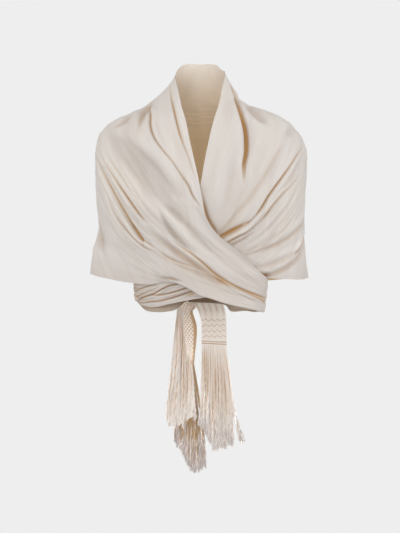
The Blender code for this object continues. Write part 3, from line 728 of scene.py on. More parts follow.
def crease_field(x, height, crease):
    """How far one crease moves the cloth outward, the soft painted golden shade of a broad one, that
    of a thin one, and the distance from a thin one's line, in half widths."""
    line = through(np.array(crease.line, float), LINE_STEPS * len(crease.line))
    moved, glow, golden_shade = np.zeros((3, *x.shape))
    away_from = np.full(x.shape, FAR_FROM_LINE)
    margin = 6 * crease.width + 6
    close = np.ones(x.shape, bool)
    for places, marks in ((x, line[:, 0]), (height, line[:, 1])):
        close &= (places > marks.min() - margin) & (places < marks.max() + margin)
    near_x, near_z = x[close], height[close]
    nearest = np.full(near_x.shape, np.inf)
    side, strength = np.zeros((2, *near_x.shape))
    for start, end in zip(line, line[1:]):
        run = end[:2] - start[:2]
        dx, dz = near_x - start[0], near_z - start[1]
        t = np.clip((dx * run[0] + dz * run[1]) / (run @ run), 0, 1)
        away = np.hypot(dx - t * run[0], dz - t * run[1])
        nearer = away < nearest
        nearest = np.where(nearer, away, nearest)
        side = np.where(nearer, np.sign(dx * run[1] - dz * run[0]), side)
        strength = np.where(nearer, start[2] + t * (end[2] - start[2]), strength)
    strength = np.maximum(strength, 0)
    offset = nearest / (crease.width * (0.6 + 0.4 * strength))
    core = (1 - GROOVE_TAIL) * np.exp(-(offset**crease.power))
    groove = core + GROOVE_TAIL * np.exp(-((offset / TAIL_WIDTH) ** 2))
    ridge = np.exp(-(((side * np.sign(crease.lip) * offset - RIDGE_PLACE) / RIDGE_WIDTH) ** 2))
    moved[close] = crease.depth * strength * (abs(crease.lip) * ridge - groove)
    # held is the painted golden shade that the groove holds.
    held = crease.warm * np.minimum(strength, 1.2)
    if crease.width > THIN_CREASE and crease.power == 2:
        glow[close] = held * np.exp(-((offset / 1.1) ** 2))
    else:
        golden_shade[close] = held * np.minimum(1, 1.6 * np.exp(-((offset / 1.7) ** 2)))
        away_from[close] = side * np.minimum(offset, FAR_FROM_LINE) ** (crease.power / 2)
    return moved, glow, golden_shade, away_from


def spread_fan(fan):
    """The creases of a fan, each with its own depth and its own length."""
    first, last = np.array(fan.first, float), np.array(fan.last, float)
    creases = []
    for k in range(fan.count):
        share = (k + CHANCE.uniform(0.2, 0.8)) / fan.count
        line = through(first + (last - first) * share, FAN_PLACES)
        run = np.linspace(0, 1, FAN_PLACES)
        deepest = CHANCE.uniform(0.45, 1.1)
        strength = deepest * np.sin(math.pi * run ** CHANCE.uniform(0.7, 1.5)) ** 0.7
        line = np.column_stack([line, strength * (0.8 + 0.2 * np.sin(9 * run + 6 * share))])
        line = line[1 : FAN_PLACES - k % 3]
        width = fan.width * CHANCE.uniform(0.75, 1.3)
        creases.append(Crease(fan.half, fan.side, width, fan.depth, fan.lip, fan.warm, line))
    return creases


ALL_CREASES = [*CREASES, *(crease for fan in FANS for crease in spread_fan(fan))]


def ripple(signed_station, across):
    """How far the satin's faint waves stand out."""
    total = np.zeros(np.broadcast(signed_station, across).shape)
    for wave, height, drift, sway, phase in RIPPLES:
        bend = 0.35 * np.sin(TURN * signed_station / sway + phase)
        patch = 0.5 + 0.5 * np.sin(TURN * (signed_station / (1.7 * sway) + across / 170) + 2 * phase)
        lines = np.sin(TURN * (across / wave + drift * signed_station + bend) + phase)
        total += height * patch * lines
    return total


def section_controls(half, sections):
    """Turn and run of the neck edge, the roll and the hem in each section, then lift and tuck."""
    heights, runs = run_table(half)
    rows = []
    for s in sections:
        row = []
        for reach, height in (
            (s.edge_reach, s.edge_height),
            (s.roll_reach, s.roll_height),
            (s.hem_reach, s.hem_height),
        ):
            row.append(turn_at(half, s.where, reach, height))
            row.append(np.interp(-height, -heights, runs))
        rows.append(row + [s.lift, s.tuck])
    return np.array(rows)


def gathered(half, station, share, length):
    """How far the gathers move the cloth outward, their relief, which paints highlight and shade, and
    the painted golden shade they hold. length is that of the cloth across each section."""
    moved, relief, glow = np.zeros((3, *np.broadcast(station, share).shape))
    for gather in GATHERS:
        if gather.half == half:
            grown = smooth((station - gather.first_section) / 2)
            across = share + gather.drift * (station - gather.first_section)
            wave = np.cos(TURN * gather.count * across)
            moved += gather.slope * length / (TURN * gather.count) * grown * wave
            relief += GATHER_RELIEF * grown * wave
            # Painted golden shade in the troughs of the gathers.
            glow = np.maximum(glow, GATHER_GLOW * grown * smooth(-1.6 * wave - 0.6))
    return moved, relief, glow


def half_grid(half, stations, shares):
    """Points of one half of the web, and the painted golden shade of broad and thin creases, the
    distance from a crease's line and the relief that paints highlight and shade, at each. stations
    count along its sections, and shares run across it from the neck edge, 0, to the hem, 1."""
    sections = HALVES[half]
    controls = curve(range(len(sections)), section_controls(half, sections), stations)
    edge_turn, edge_run, roll_turn, roll_run, hem_turn, hem_run, lift, tuck = controls.T[:, :, None]
    tuck = np.clip(tuck, 0, 1)
    share = np.asarray(shares)[None, :]
    station = np.asarray(stations)[:, None]
    heights, runs = run_table(half)
    edge_reach = curve(range(len(sections)), [s.edge_reach for s in sections], station)
    straight_edge = front_turns(half, edge_reach, np.interp(edge_run, runs, heights))
    in_front = smooth(3 * (station - ARM_SECTION)) * smooth(2 * (FLANK_SECTION - 1 - station))
    edge_turn = edge_turn + (straight_edge - edge_turn) * in_front

    above = np.clip(share / ROLL_SHARE, 0, 1)
    below = np.clip((share - ROLL_SHARE) / (1 - ROLL_SHARE), 0, 1)
    flap = hem_run - roll_run
    angle = np.maximum(TUCK_ANGLE * tuck, 1e-6)
    radius = TUCK_BEND * flap / angle
    bent = angle * np.clip(below / TUCK_BEND, 0, 1)
    straight = flap * np.clip(below - TUCK_BEND, 0, 1)
    dip = radius * tuck * np.sin(np.minimum(angle, math.pi / 2))
    turn = edge_turn + (roll_turn - edge_turn) * above + (hem_turn - roll_turn) * below
    run = edge_run + (roll_run - dip - edge_run) * above
    run = run + radius * np.sin(bent) + straight * np.cos(angle)
    height = np.interp(run, runs, heights)
    base = form(half, turn, height)
    out = form_normal(half, turn, height)

    shown = 1 - tuck * smooth(3 * below)
    smoothed = smooth(share / EDGE_SHARE + 0.1)
    length = np.minimum((roll_run - edge_run) / ROLL_SHARE, abs(flap) / (1 - ROLL_SHARE))
    moved, relief, glow = gathered(half, station, share, length)
    lift = lift - radius * (1 - np.cos(bent)) - straight * np.sin(angle) + moved * shown
    relief = relief * shown
    golden_shade, line = np.zeros((2, *height.shape))
    mirror = -1 if half == "outer" else 1
    x = mirror * base[..., 0]
    seen_from = {
        "front": smooth(0.2 - 3 * out[..., 1]) * shown,
        "back": smooth(0.2 + 3 * out[..., 1]) * shown * (turn > 0),
    }
    for crease in ALL_CREASES:
        if crease.half in (half, "both"):
            seen = seen_from[crease.side]
            moved, glowing, warmed, away_from = crease_field(x, height, crease)
            lift = lift + seen * smoothed * moved
            relief = relief + seen * np.clip(moved / FULL_RELIEF, -1.2, 1)
            glow = np.maximum(glow, seen * smoothed * glowing)
            warmed = seen * smoothed * warmed
            line = np.where(warmed > golden_shade, away_from, line)
            golden_shade = np.maximum(golden_shade, warmed)
    inside = smooth(share / 0.3 - 0.1) * smooth((1 - share) / 0.08)
    lift = lift + ripple(mirror * station, WEB_WIDTH * share) * shown * inside
    points = base + out * lift[..., None]
    points[..., 0] *= mirror
    return points, np.stack([glow * shown, golden_shade * shown, line, np.clip(relief, -1, 1)], axis=-1)


def directions(points):
    """Directions square to a grid of points."""
    return unit(np.cross(np.gradient(points, axis=0), np.gradient(points, axis=1)))


def add_piece(name, points, faces, material, normals=None, attributes=(), uv=None):
    """An object from points in millimetres, with values at its points. uv is in millimetres."""
    mesh = bpy.data.meshes.new(name)
    mesh.vertices.add(len(points))
    mesh.vertices.foreach_set("co", (np.asarray(points, float) * MM).astype(np.float32).ravel())
    faces = np.asarray(faces)
    mesh.loops.add(faces.size)
    mesh.loops.foreach_set("vertex_index", faces.astype(np.int32).ravel())
    mesh.polygons.add(len(faces))
    starts = np.arange(0, faces.size, faces.shape[1], dtype=np.int32)
    mesh.polygons.foreach_set("loop_start", starts)
    mesh.update(calc_edges=True)
    for key, values in attributes:
        layer = mesh.attributes.new(key, "FLOAT", "POINT")
        layer.data.foreach_set("value", np.asarray(values, np.float32).ravel())
    if uv is not None:
        layer = mesh.uv_layers.new(name="web")
        layer.data.foreach_set("uv", (np.asarray(uv) * MM)[faces.ravel()].astype(np.float32).ravel())
    mesh.shade_smooth()
    if normals is not None:
        mesh.normals_split_custom_set_from_vertices(normals.tolist())
    mesh.materials.append(material)
    obj = bpy.data.objects.new(name, mesh)
    bpy.context.scene.collection.objects.link(obj)
    return obj


def steps(points, axis):
    """Lengths of the steps along one axis of a grid of points, with none before the first."""
    first = np.take(points, [0], axis=axis)
    return np.linalg.norm(np.diff(points, axis=axis, prepend=first), axis=-1)


def cloth_piece(name, points, normals, tones, material, outward, inside=1.0):
    """A closed thin shell on a grid of points, with its painted golden shade and relief shading at
    each. inside is 1 for the lining under the collar and the cape, and 2 for that of the waist."""
    rows, columns = points.shape[:2]
    if np.dot(normals[rows // 2, columns // 3], outward) < 0:
        points, normals, tones = points[::-1], -normals[::-1], tones[::-1]
    along = np.cumsum(steps(points, 0).mean(axis=1))
    across = np.cumsum(steps(points, 1), axis=1)
    uv = np.stack([np.broadcast_to(along[:, None], across.shape), across], axis=-1).reshape(-1, 2)
    outer = (points + normals * THICKNESS / 2).reshape(-1, 3)
    inner = (points - normals * THICKNESS / 2).reshape(-1, 3)
    count = rows * columns
    cell = np.arange(count).reshape(rows, columns)
    corners = (cell[:-1, :-1], cell[1:, :-1], cell[1:, 1:], cell[:-1, 1:])
    front = np.stack([corner.ravel() for corner in corners], axis=1)
    back = count + front[:, ::-1]
    rim = np.concatenate([cell[:, 0], cell[-1, 1:], cell[-2::-1, -1], cell[0, -2:0:-1]])
    after = np.roll(rim, -1)
    edge = np.stack([rim, count + rim, count + after, after], axis=1)
    flat = normals.reshape(-1, 3)
    glow, golden_shade, line, relief = tones.reshape(-1, 4).T
    return add_piece(
        name,
        np.concatenate([outer, inner]),
        np.concatenate([front, back, edge]),
        material,
        normals=np.concatenate([flat, -flat]),
        attributes=(
            # Painted golden shade on the outer side only; the relief's painted highlight and shade show
            # faint and reversed on the inner side.
            ("glow", np.concatenate([glow, 0 * glow])),
            ("golden_shade", np.concatenate([golden_shade, 0 * golden_shade])),
            ("line", np.tile(line, 2)),
            ("relief", np.concatenate([relief, -0.3 * relief])),
            ("lining", np.repeat([0.0, inside], count)),
        ),
        uv=np.concatenate([uv, uv]),
    )


def cloth_stretch(name, half, first, last, rows, columns, material, outward, inside):
    """One stretch of a half. A row past each end gives both sides of a seam one direction."""
    step = (last - first) / columns
    stations = np.clip(first + step * np.arange(-1, columns + 2), 0, len(HALVES[half]) - 1)
    grid, tones = half_grid(half, stations, np.linspace(0, 1, rows + 1))
    return cloth_piece(name, grid[1:-1], directions(grid)[1:-1], tones[1:-1], material, outward, inside)


def build_back(material):
    """The middle of the web: the collar's back, both shoulders and the back of the cape."""
    count = BACK_COLUMNS // 2
    stations = ARM_SECTION / count * np.arange(count + 2)
    shares = np.linspace(0, 1, ROWS + 1)
    outer, outer_tones = half_grid("outer", stations, shares)
    inner, inner_tones = half_grid("inner", stations, shares)
    grid = np.concatenate([outer[::-1], inner[1:]])
    tones = np.concatenate([outer_tones[::-1], inner_tones[1:]])
    return cloth_piece("cloth_back", grid[1:-1], directions(grid)[1:-1], tones[1:-1], material, (0, 1, 0))


def tubes(paths, radii, sides):
    """Points and faces of many cords at once: paths is cords by places, and radii the same."""
    cords, places = paths.shape[:2]
    along = unit(np.gradient(paths, axis=1))
    aside = unit(np.cross(along, (0.13, 1.0, 0.07)))
    upward = np.cross(along, aside)
    swing = (TURN * np.arange(sides) / sides)[:, None]
    ring = np.cos(swing) * aside[:, :, None] + np.sin(swing) * upward[:, :, None]
    points = paths[:, :, None] + ring * radii[:, :, None, None]
    start = (np.arange(cords) * places * sides)[:, None, None]
    row = (np.arange(places - 1) * sides)[None, :, None]
    j = np.arange(sides)[None, None, :]
    a = start + row + j
    b = start + row + (j + 1) % sides
    faces = np.stack([a, b, b + sides, a + sides], axis=-1).reshape(-1, 4)
    return points.reshape(-1, 3), faces


def bundle(name, groups, material):
    """One object from several groups of cords, each given as paths, radii, sides and painted golden shade.
    """
    points, faces, golden_shades, lengths = [], [], [], []
    start = 0
    for paths, radii, sides, golden_shade in groups:
        radii = np.broadcast_to(radii, paths.shape[:2])
        part, cells = tubes(paths, radii, sides)
        points.append(part)
        faces.append(cells + start)
        golden_shades.append(np.repeat(np.broadcast_to(golden_shade, radii.shape).ravel(), sides))
        run = np.cumsum(steps(paths, 1), axis=1)
        swing = np.broadcast_to(np.arange(sides) / sides, (*run.shape, sides))
        lengths.append(np.stack([np.repeat(run.ravel(), sides), 4 * swing.ravel()], axis=-1))
        start += len(part)
    return add_piece(
        name, np.concatenate(points), np.concatenate(faces), material,
        attributes=(("golden_shade", np.concatenate(golden_shades)),), uv=np.concatenate(lengths),
    )


def zigzag(x):
    """Height of a chevron line over its middle, for places across it."""
    share = (x / CHEVRON_WIDTH) % 1
    return CHEVRON_RISE * (2 * np.abs(2 * share - 1) - 1)


def net_fold(share, height):
    """Phase of the flat net's gathers below the knot."""
    return TURN * (4.3 * share + 0.1 * np.sin(height / 9)) + 0.8


def loose(height):
    """How far the flat net is still gathered at a height, from 1 at the knot to 0."""
    return smooth((height - LOOSE_FOOT) / LOOSE_HEIGHT)


def flat_net_place(share, height, layer):
    """Place on a layer of the flat net: share runs from its left edge to its fold."""
    left, right, depth = (column(FLAT_NET, name, height) for name in ("left", "right", "depth"))
    fall = 1.8 * loose(height) * np.sin(net_fold(share, height))
    deep = depth + fall + NET_LAYER_GAP * layer
    return np.stack([left + (right - left) * share, deep, height + 0 * share], axis=-1)


def side_by_side(count):
    """Shares of a net's width at which its upright cords hang."""
    return (np.arange(count)[:, None] + 0.5) / count


def upright_cords():
    """The flat net's near cords: pinched together along the chevron lines, with open meshes
    between pairs of them."""
    height = np.arange(FLAT_NET[0].height, UPRIGHT_FOOT, -0.8)
    number = np.arange(UPRIGHT_CORDS)[:, None]
    share = side_by_side(UPRIGHT_CORDS) + 0 * height
    place = flat_net_place(share, height, 0)
    rise = zigzag(place[..., 0])
    groove = 0 * share
    for middle in CHEVRON_LINES:
        groove = np.maximum(groove, np.exp(-(((height - middle - rise) / CHEVRON_GROOVE) ** 2)))
    pair = np.where(number % 2 == 0, 1, -1)
    netted = smooth((MESH_TOP - height) / 5) * smooth((height - MESH_FOOT) / 4)
    meet = np.sin(math.pi * (height - rise + 1.2) / MESH_HEIGHT)
    place[..., 0] += 0.42 * pair * netted * meet
    place[..., 1] += 1.0 * groove - 0.5 * netted * pair * meet
    # Painted golden shade along the chevron grooves and in the valleys of the gathers below the knot.
    valley = loose(height) * smooth(1.5 * np.sin(net_fold(share, height)) - 0.4)
    golden_shade = np.maximum(0.62 * groove * np.where(number % 3 == 0, 0.6, 1), 0.45 * valley)
    return place, CORD * (1.08 - 0.38 * groove), 6, golden_shade


def build_flat_net(material):
    """The flat end: upright cords over layers of cords behind in painted golden shade, with twisted
    cords across the foot."""
    groups = [upright_cords()]
    height = np.arange(FLAT_NET[0].height, BEHIND_FOOT, -2.5)
    share = side_by_side(BEHIND_CORDS) + 0 * height
    # Two layers of cords behind, in painted golden shade, deeper on the nearer one; the cords of the
    # fold's edge carry a little.
    for layer, golden_shade in ((0.55, 0.85), (1, 0.35)):
        groups.append((flat_net_place(share, height, layer), 1.5, 5, golden_shade))
    edge = TURN * np.arange(1, 8)[:, None] / 16 - math.pi / 2
    fold = flat_net_place(1 + 0 * height, height, 0.5) + 0 * edge[..., None]
    fold[..., 0] += 1.3 * np.cos(edge)
    fold[..., 1] += NET_LAYER_GAP / 2 * np.sin(edge)
    groups.append((fold, 0.9, 5, 0.1))
    swing = np.linspace(-0.35, TURN - 0.35, 90)
    across = 0.5 + 0.515 * np.cos(swing)
    near_side = np.sign(np.sin(swing)) * np.minimum(1, np.abs(np.sin(swing)) * 9)
    twist = 1 + 0.13 * np.sin(170 * across)
    for height, thick, golden_shade in CROSS_CORDS:
        ring = flat_net_place(across, height - 2.6 * across, 0.5)
        ring[:, 1] -= (3.2 - 0.8 * golden_shade) * near_side
        groups.append((ring[None], thick * twist, 6, golden_shade))
    return bundle("net_panel", groups, material)


def leaf_place(turn, height, swell):
    """Place on the twisted net's leaf, turn running round it."""
    left, right, depth = (column(LEAF, name, height) for name in ("left", "right", "depth"))
    thick = LEAF_HALF_DEPTH * np.minimum(1.0, (right - left) / 20)
    x = (left + right) / 2 + (right - left) / 2 * swell * np.cos(turn)
    y = depth + thick * swell * np.sin(turn) * (1 - 0.2 * np.cos(turn))
    return np.stack([x, y, height + 0 * turn], axis=-1)


def build_leaf(material):
    """The twisted end: folded net, its cords crossing over a core in painted golden shade, and the
    fold of its right edge smooth and in painted shadow."""
    top, foot = LEAF[0].height, LEAF[-1].height
    height = np.linspace(top - 1, foot + 1, 50)
    turn = TURN * np.arange(LEAF_CORE_CORDS)[:, None] / LEAF_CORE_CORDS + 0 * height
    # The core's cords carry painted golden shade, deepest towards its two sides.
    shade = 0.8 + 0.2 * smooth(2 * abs(np.cos(turn)) - 1)
    groups = [(leaf_place(turn, height, 0.88), 1.3, 5, shade)]
    height = np.linspace(top, foot, 120)
    start = TURN * np.arange(LEAF_CORDS)[:, None] / LEAF_CORDS
    close = np.minimum(1, 0.5 + (height - foot) / 50)
    for sense in (1, -1):
        wound = sense * (-427 - height) / 16
        turn = start + wound
        # Cords on the fold of the right edge carry painted shadow.
        folded = smooth(2.6 * np.cos(turn) - 0.9)
        swell = 1.02 + 0.06 * sense * np.cos(LEAF_CORDS * (start + 2 * wound)) - 0.12 * folded
        groups.append((leaf_place(turn, height, swell), 1.1 * close, 6, 0.95 * folded))
    # Three cords on the front near the fold of the right edge carry full painted golden shade.
    for offset in (0.0, 0.5, 1.0):
        turn = -0.55 + 0.35 * offset + 0 * height
        groups.append((leaf_place(turn[None], height, 1.03 + 0.03 * offset), 1.6, 6, 1.0))
    return bundle("net_leaf", groups, material)


def level_ring(latitude, swing):
    """A level circle on a ball of radius 1."""
    return np.stack(
        [
            math.cos(latitude) * np.cos(swing),
            math.cos(latitude) * np.sin(swing),
            math.sin(latitude) + 0 * swing,
        ],
        axis=-1,
    )


def build_knot(material):
    """The bun: turns of gathered net wound round one another, each a band of cords, over a core
    of thick ones."""
    groups = []
    swing = np.linspace(0, TURN, KNOT_PLACES)
    for tilt, lean, size in KNOT_TURNS:
        c, s = math.cos(tilt), math.sin(tilt)
        tilted = np.array([[c, 0, -s], [0, 1, 0], [s, 0, c]])
        c, s = math.cos(lean), math.sin(lean)
        leaned = np.array([[1, 0, 0], [0, c, -s], [0, s, c]])
        for k in range(KNOT_BAND_CORDS):
            latitude = (k - (KNOT_BAND_CORDS - 1) / 2) / KNOT_BAND_CORDS
            ring = level_ring(latitude, swing) @ tilted @ leaned
            bulge = size * (1 + 0.05 * np.cos(math.pi * latitude) + 0.02 * np.sin(5 * swing + k))
            place = np.array(KNOT_CENTRE) + ring * bulge[:, None] * (np.array(KNOT_HALF) - CORD)
            bead = np.sin(KNOT_BEADS * swing + math.pi * k)
            # Painted golden shade at the band's edges and between the beads, where the cords lie in
            # shadow.
            shade = 0.1 + 0.4 * smooth(abs(latitude) / 0.45 - 0.3) + 0.6 * smooth(-1.4 * bead)
            groups.append((place[None], 1.55 * (1 + 0.32 * bead), 5, shade))
    # The core: thick cords in painted golden shade.
    for latitude in np.linspace(-KNOT_CORE_END, KNOT_CORE_END, KNOT_CORE_RINGS):
        place = np.array(KNOT_CENTRE) + level_ring(latitude, swing) * KNOT_CORE * np.array(KNOT_HALF)
        groups.append((place[None], KNOT_CORE_CORD, 6, 0.7))
    return bundle("knot_turns", groups, material)


def build_fringe(fringe, material):
    """Strands in uneven locks, gathered at their roots, with curled and ragged ends."""
    fall = np.linspace(0, 1, STRAND_PLACES) ** 0.9
    roots = through(np.array(fringe.roots, float), ROOT_PLACES)
    tips = through(np.array(fringe.tips, float), ROOT_PLACES)
    widths = CHANCE.uniform(0.6, 1.4, fringe.locks)
    edges = np.concatenate([[0], np.cumsum(widths)]) / widths.sum()
    paths, golden_shades = [], []
    for lock in range(fringe.locks):
        sway = CHANCE.uniform(0.5, 1.5)
        phase = CHANCE.uniform(0, TURN)
        lean = CHANCE.normal(0, 1.2)
        ragged = CHANCE.uniform(-9, 5)
        near = CHANCE.uniform(-1.2, 1.2)
        stray = fringe.stray if lock == fringe.locks - 1 else 0
        # golden counts the strands of a lock that are set forward with painted golden shade lines.
        golden = CHANCE.integers(1, 4)
        lock_width = edges[lock + 1] - edges[lock]
        for strand in range(fringe.strands):
            u = (strand + CHANCE.uniform(0.1, 0.9)) / fringe.strands
            share = edges[lock] + lock_width * u
            tight = edges[lock] + lock_width * (0.5 + TIP_WIDTH * (u - 0.5))
            root = roots[int(share * (ROOT_PLACES - 1))]
            tip = tips[int(tight * (ROOT_PLACES - 1))].copy()
            tip[2] += ragged + CHANCE.uniform(-4, 4) + 3 * abs(2 * u - 1)
            depth = -1.5 if strand < golden else CHANCE.uniform(-1, 1)
            path = root + (tip - root) * fall[:, None]
            path[:, 0] += fringe.bulge * np.sin(math.pi * fall)
            path[:, 0] += (stray + 7 * (u - 0.5) * (stray > 0)) * fall**5
            path[:, 1] += near * fall
            path[:, 1] += depth * (0.9 + 2.4 * np.sin(math.pi * np.minimum(fall, 0.8)))
            wave = np.sin(TURN * (1.6 * fall + 0.08 * CHANCE.normal()) + phase)
            path[:, 0] += sway * wave * fall + lean * np.sin(math.pi * fall)
            crimp = TURN * (CHANCE.uniform(8, 11) * fall + CHANCE.uniform())
            path[:, 0] += (0.25 + 1.0 * fall**2) * np.sin(crimp)
            path[:, 1] += (0.25 + 1.2 * fall**2) * np.cos(crimp)
            paths.append(path)
            # Painted golden shade along each strand, turning to the tip's painted lilac shade at a random
            # place and changed with the strand's depth; the first strands of a lock carry extra painted
            # golden shade.
            shaded = smooth((fall - CHANCE.uniform(0.6, 0.95)) / 0.1)
            held = fringe.shade + (fringe.tip_shade - fringe.shade) * shaded
            held = held * (1 - 0.6 * smooth(depth + 0.3)) + 0.25 * max(depth, 0)
            if strand < golden:
                along = (1 - fall**4) * smooth(4 * fall + 0.2)
                held = held + 0.85 * along * (0.6 + 0.4 * np.sin(7 * fall + phase))
            golden_shades.append(np.clip(held + CHANCE.uniform(-0.12, 0.22), -1, 1))
    radii = STRAND * (1 - 0.25 * fall**4)
    return bundle(fringe.name, [(np.array(paths), radii, 4, np.array(golden_shades))], material)


class Shades:
    """A material and its nodes. A value is a number, a colour or another node's output."""

    def __init__(self, name):
        self.material = bpy.data.materials.new(name)
        self.material.use_nodes = True
        self.tree = self.material.node_tree
        self.shader = self.tree.nodes["Principled BSDF"]

    def put(self, socket, value):
        if hasattr(value, "links"):
            self.tree.links.new(value, socket)
        elif socket.type == "RGBA":
            socket.default_value = (*value, 1)
        else:
            socket.default_value = value

    def node(self, kind, output, inputs=None, **settings):
        """A new node's output. The nodes lie in a row to the left of the shader."""
        made = self.tree.nodes.new("ShaderNode" + kind)
        made.location = (-200 * len(self.tree.nodes), 0)
        for key, value in settings.items():
            setattr(made, key, value)
        for key, value in (inputs or {}).items():
            self.put(made.inputs[key], value)
        return made.outputs[output]

    def attribute(self, name):
        return self.node("Attribute", "Fac", attribute_name=name)

    def mixed(self, share, first, second):
        """Two colours mixed."""
        return self.node("Mix", 2, {0: share, 6: first, 7: second}, data_type="RGBA")

    def noise(self, vector, scale, detail=3.0):
        """Noise with its own scale along each axis."""
        stretched = self.node("Mapping", 0, {"Vector": vector, "Scale": scale})
        inputs = {"Vector": stretched, "Scale": 1.0, "Detail": detail, "Roughness": 0.55}
        return self.node("TexNoise", "Fac", inputs)

    def spread(self, value, low, high, to_low=0.0, to_high=1.0):
        """A value spread from one range to another, and held within it."""
        inputs = {"Value": value, "From Min": low, "From Max": high, "To Min": to_low, "To Max": to_high}
        return self.node("MapRange", "Result", inputs, clamp=True)

    def math(self, operation, *values):
        return self.node("Math", 0, dict(enumerate(values)), operation=operation)

    def bumped(self, height, strength, distance, below=None):
        inputs = {"Height": height, "Strength": strength, "Distance": distance}
        if below is not None:
            inputs["Normal"] = below
        return self.node("Bump", "Normal", inputs)

    def finished(self, **inputs):
        """The material, with these inputs of its shader."""
        for key, value in inputs.items():
            self.put(self.shader.inputs[key.replace("_", " ")], value)
        return self.material


def satin():
    """Cream silk satin: warm and cool patches, faint lengthwise slub, a fine weave, and painted light
    and shade: golden shade in the creases and inside, highlight and shade on the relief and in broad
    patches, darker low down and under the band, and a lighter lining."""
    made = Shades("cream_satin_silk")
    web = made.node("UVMap", "UV", uv_map="web")
    place = made.node("TexCoord", "Object")
    x, z = (made.node("SeparateXYZ", axis, {"Vector": place}) for axis in "XZ")
    names = ("glow", "golden_shade", "line", "relief", "lining")
    glow, golden_shade, line, relief, lining = (made.attribute(name) for name in names)
    from_line = made.spread(made.math("MULTIPLY", line, line), 0.0, 16.0, 0.0, -26.0)
    golden_shade = made.math("MULTIPLY", golden_shade, made.math("EXPONENT", from_line))
    patches = made.noise(web, (5, 16, 1))
    streak = made.noise(web, (9, 260, 1), 4.0)
    # Broad random patches of painted shade and painted highlight, standing in for the sheen of soft folds.
    painted_fold_shading = made.noise(web, (6, 34, 1))

    # Painted golden shade on the linings, faint at the collar's top and full lower down, weaker on the
    # waist's lining.
    inward = made.spread(z, 0.115, -0.06, 0.05, 1.0)
    inside = made.math("MULTIPLY", made.spread(lining, 0.0, 1.0), inward)
    inside = made.math("MULTIPLY", made.spread(lining, 1.0, 2.0, 1.0, 0.35), inside)
    # The lining of the collar and the cape is lightened with painted light; the waist's is not.
    painted_lining_light = made.spread(lining, 0.0, 1.0, 0.0, 0.9)
    painted_lining_light = made.math("MULTIPLY", made.spread(lining, 1.0, 2.0, 1.0, 0.0), painted_lining_light)
    # Painted shadow on the waist's lining low down under the front band, lighter at the sides.
    under = made.math("MULTIPLY", made.spread(lining, 1.0, 2.0), made.spread(z, -0.432, -0.402, 0.25, 1.0))
    beside = made.spread(made.math("ABSOLUTE", x), 0.04, 0.1, 1.0, 0.6)

    colour = CREAM_WARM
    for share, tint in (
        (made.spread(patches, 0.35, 0.65), CREAM_COOL),
        (made.spread(streak, 0.55, 0.9, 0.0, 0.35), CREAM_STREAK),
        (made.spread(painted_fold_shading, 0.52, 0.72, 0.0, 0.35), CREAM_SHADE),
        (made.spread(painted_fold_shading, 0.48, 0.3, 0.0, 0.4), CREAM_PAINTED_HIGHLIGHT),
        # The relief paints highlight on ridges and shade in grooves.
        (made.spread(relief, 0.0, 1.0, 0.0, 0.6), CREAM_PAINTED_HIGHLIGHT),
        (made.spread(relief, 0.0, -1.0, 0.0, 0.6), CREAM_SHADE),
        # Painted shade, darker towards the bottom of the wrap.
        (made.spread(z, -0.3, -0.35, 0.0, 0.4), CREAM_SHADE),
        (painted_lining_light, LINING_PAINTED_LIGHT),
        (inside, LINING_GOLDEN_SHADE),
        (made.math("MULTIPLY", beside, under), LINING_SHADE),
        # Painted golden shade in broad and thin creases and in the gathers.
        (glow, CREASE_GOLDEN_SHADE),
        (golden_shade, CREASE_GOLDEN_SHADE),
    ):
        colour = made.mixed(share, colour, tint)

    weave = made.noise(web, (900, 2600, 1), 2.0)
    slub = made.bumped(streak, 0.35, 0.0006)
    return made.finished(
        Base_Color=colour,
        Roughness=made.spread(streak, 0.3, 0.7, 0.36, 0.46),
        Specular_IOR_Level=0.42,
        Sheen_Weight=0.12,
        Sheen_Roughness=0.45,
        Sheen_Tint=(1.0, 0.95, 0.9),
        Normal=made.bumped(weave, 0.25, 0.00015, slub),
    )


def thread(name, light, deep, golden_shade_colour, roughness):
    """Silk cord or thread: fine plies turning round it, uneven dye, and painted golden and lilac shade."""
    made = Shades(name)
    uneven = made.noise(made.node("TexCoord", "Object"), (150, 150, 24))
    golden_shade = made.attribute("golden_shade")
    colour = made.mixed(made.spread(uneven, 0.3, 0.7), light, deep)
    # Painted golden shade where the shade value is above zero, and painted lilac shade where it is below.
    colour = made.mixed(golden_shade, colour, golden_shade_colour)
    colour = made.mixed(made.spread(golden_shade, 0.0, -1.0), colour, TIP_SHADE)
    web = made.node("UVMap", "UV", uv_map="web")
    along = made.node("Mapping", 0, {"Vector": web, "Scale": (160, 160, 1)})
    ply = {"Vector": along, "Scale": 1.0, "Distortion": 1.0, "Detail": 1.0}
    return made.finished(
        Base_Color=colour,
        Normal=made.bumped(made.node("TexWave", "Fac", ply), 0.4, 0.0003),
        Roughness=roughness,
        Specular_IOR_Level=0.35,
        Sheen_Weight=0.15,
    )


def add_light(name, place, aim, size, degrees, power, colour):
    light = bpy.data.lights.new(name, "AREA")
    light.shape = "RECTANGLE"
    light.size, light.size_y = size
    light.spread = math.radians(degrees)
    light.energy = power
    light.color = colour
    obj = bpy.data.objects.new(name, light)
    obj.location = place
    obj.rotation_euler = (Vector(aim) - Vector(place)).to_track_quat("-Z", "Y").to_euler()
    obj.visible_camera = False
    bpy.context.scene.collection.objects.link(obj)


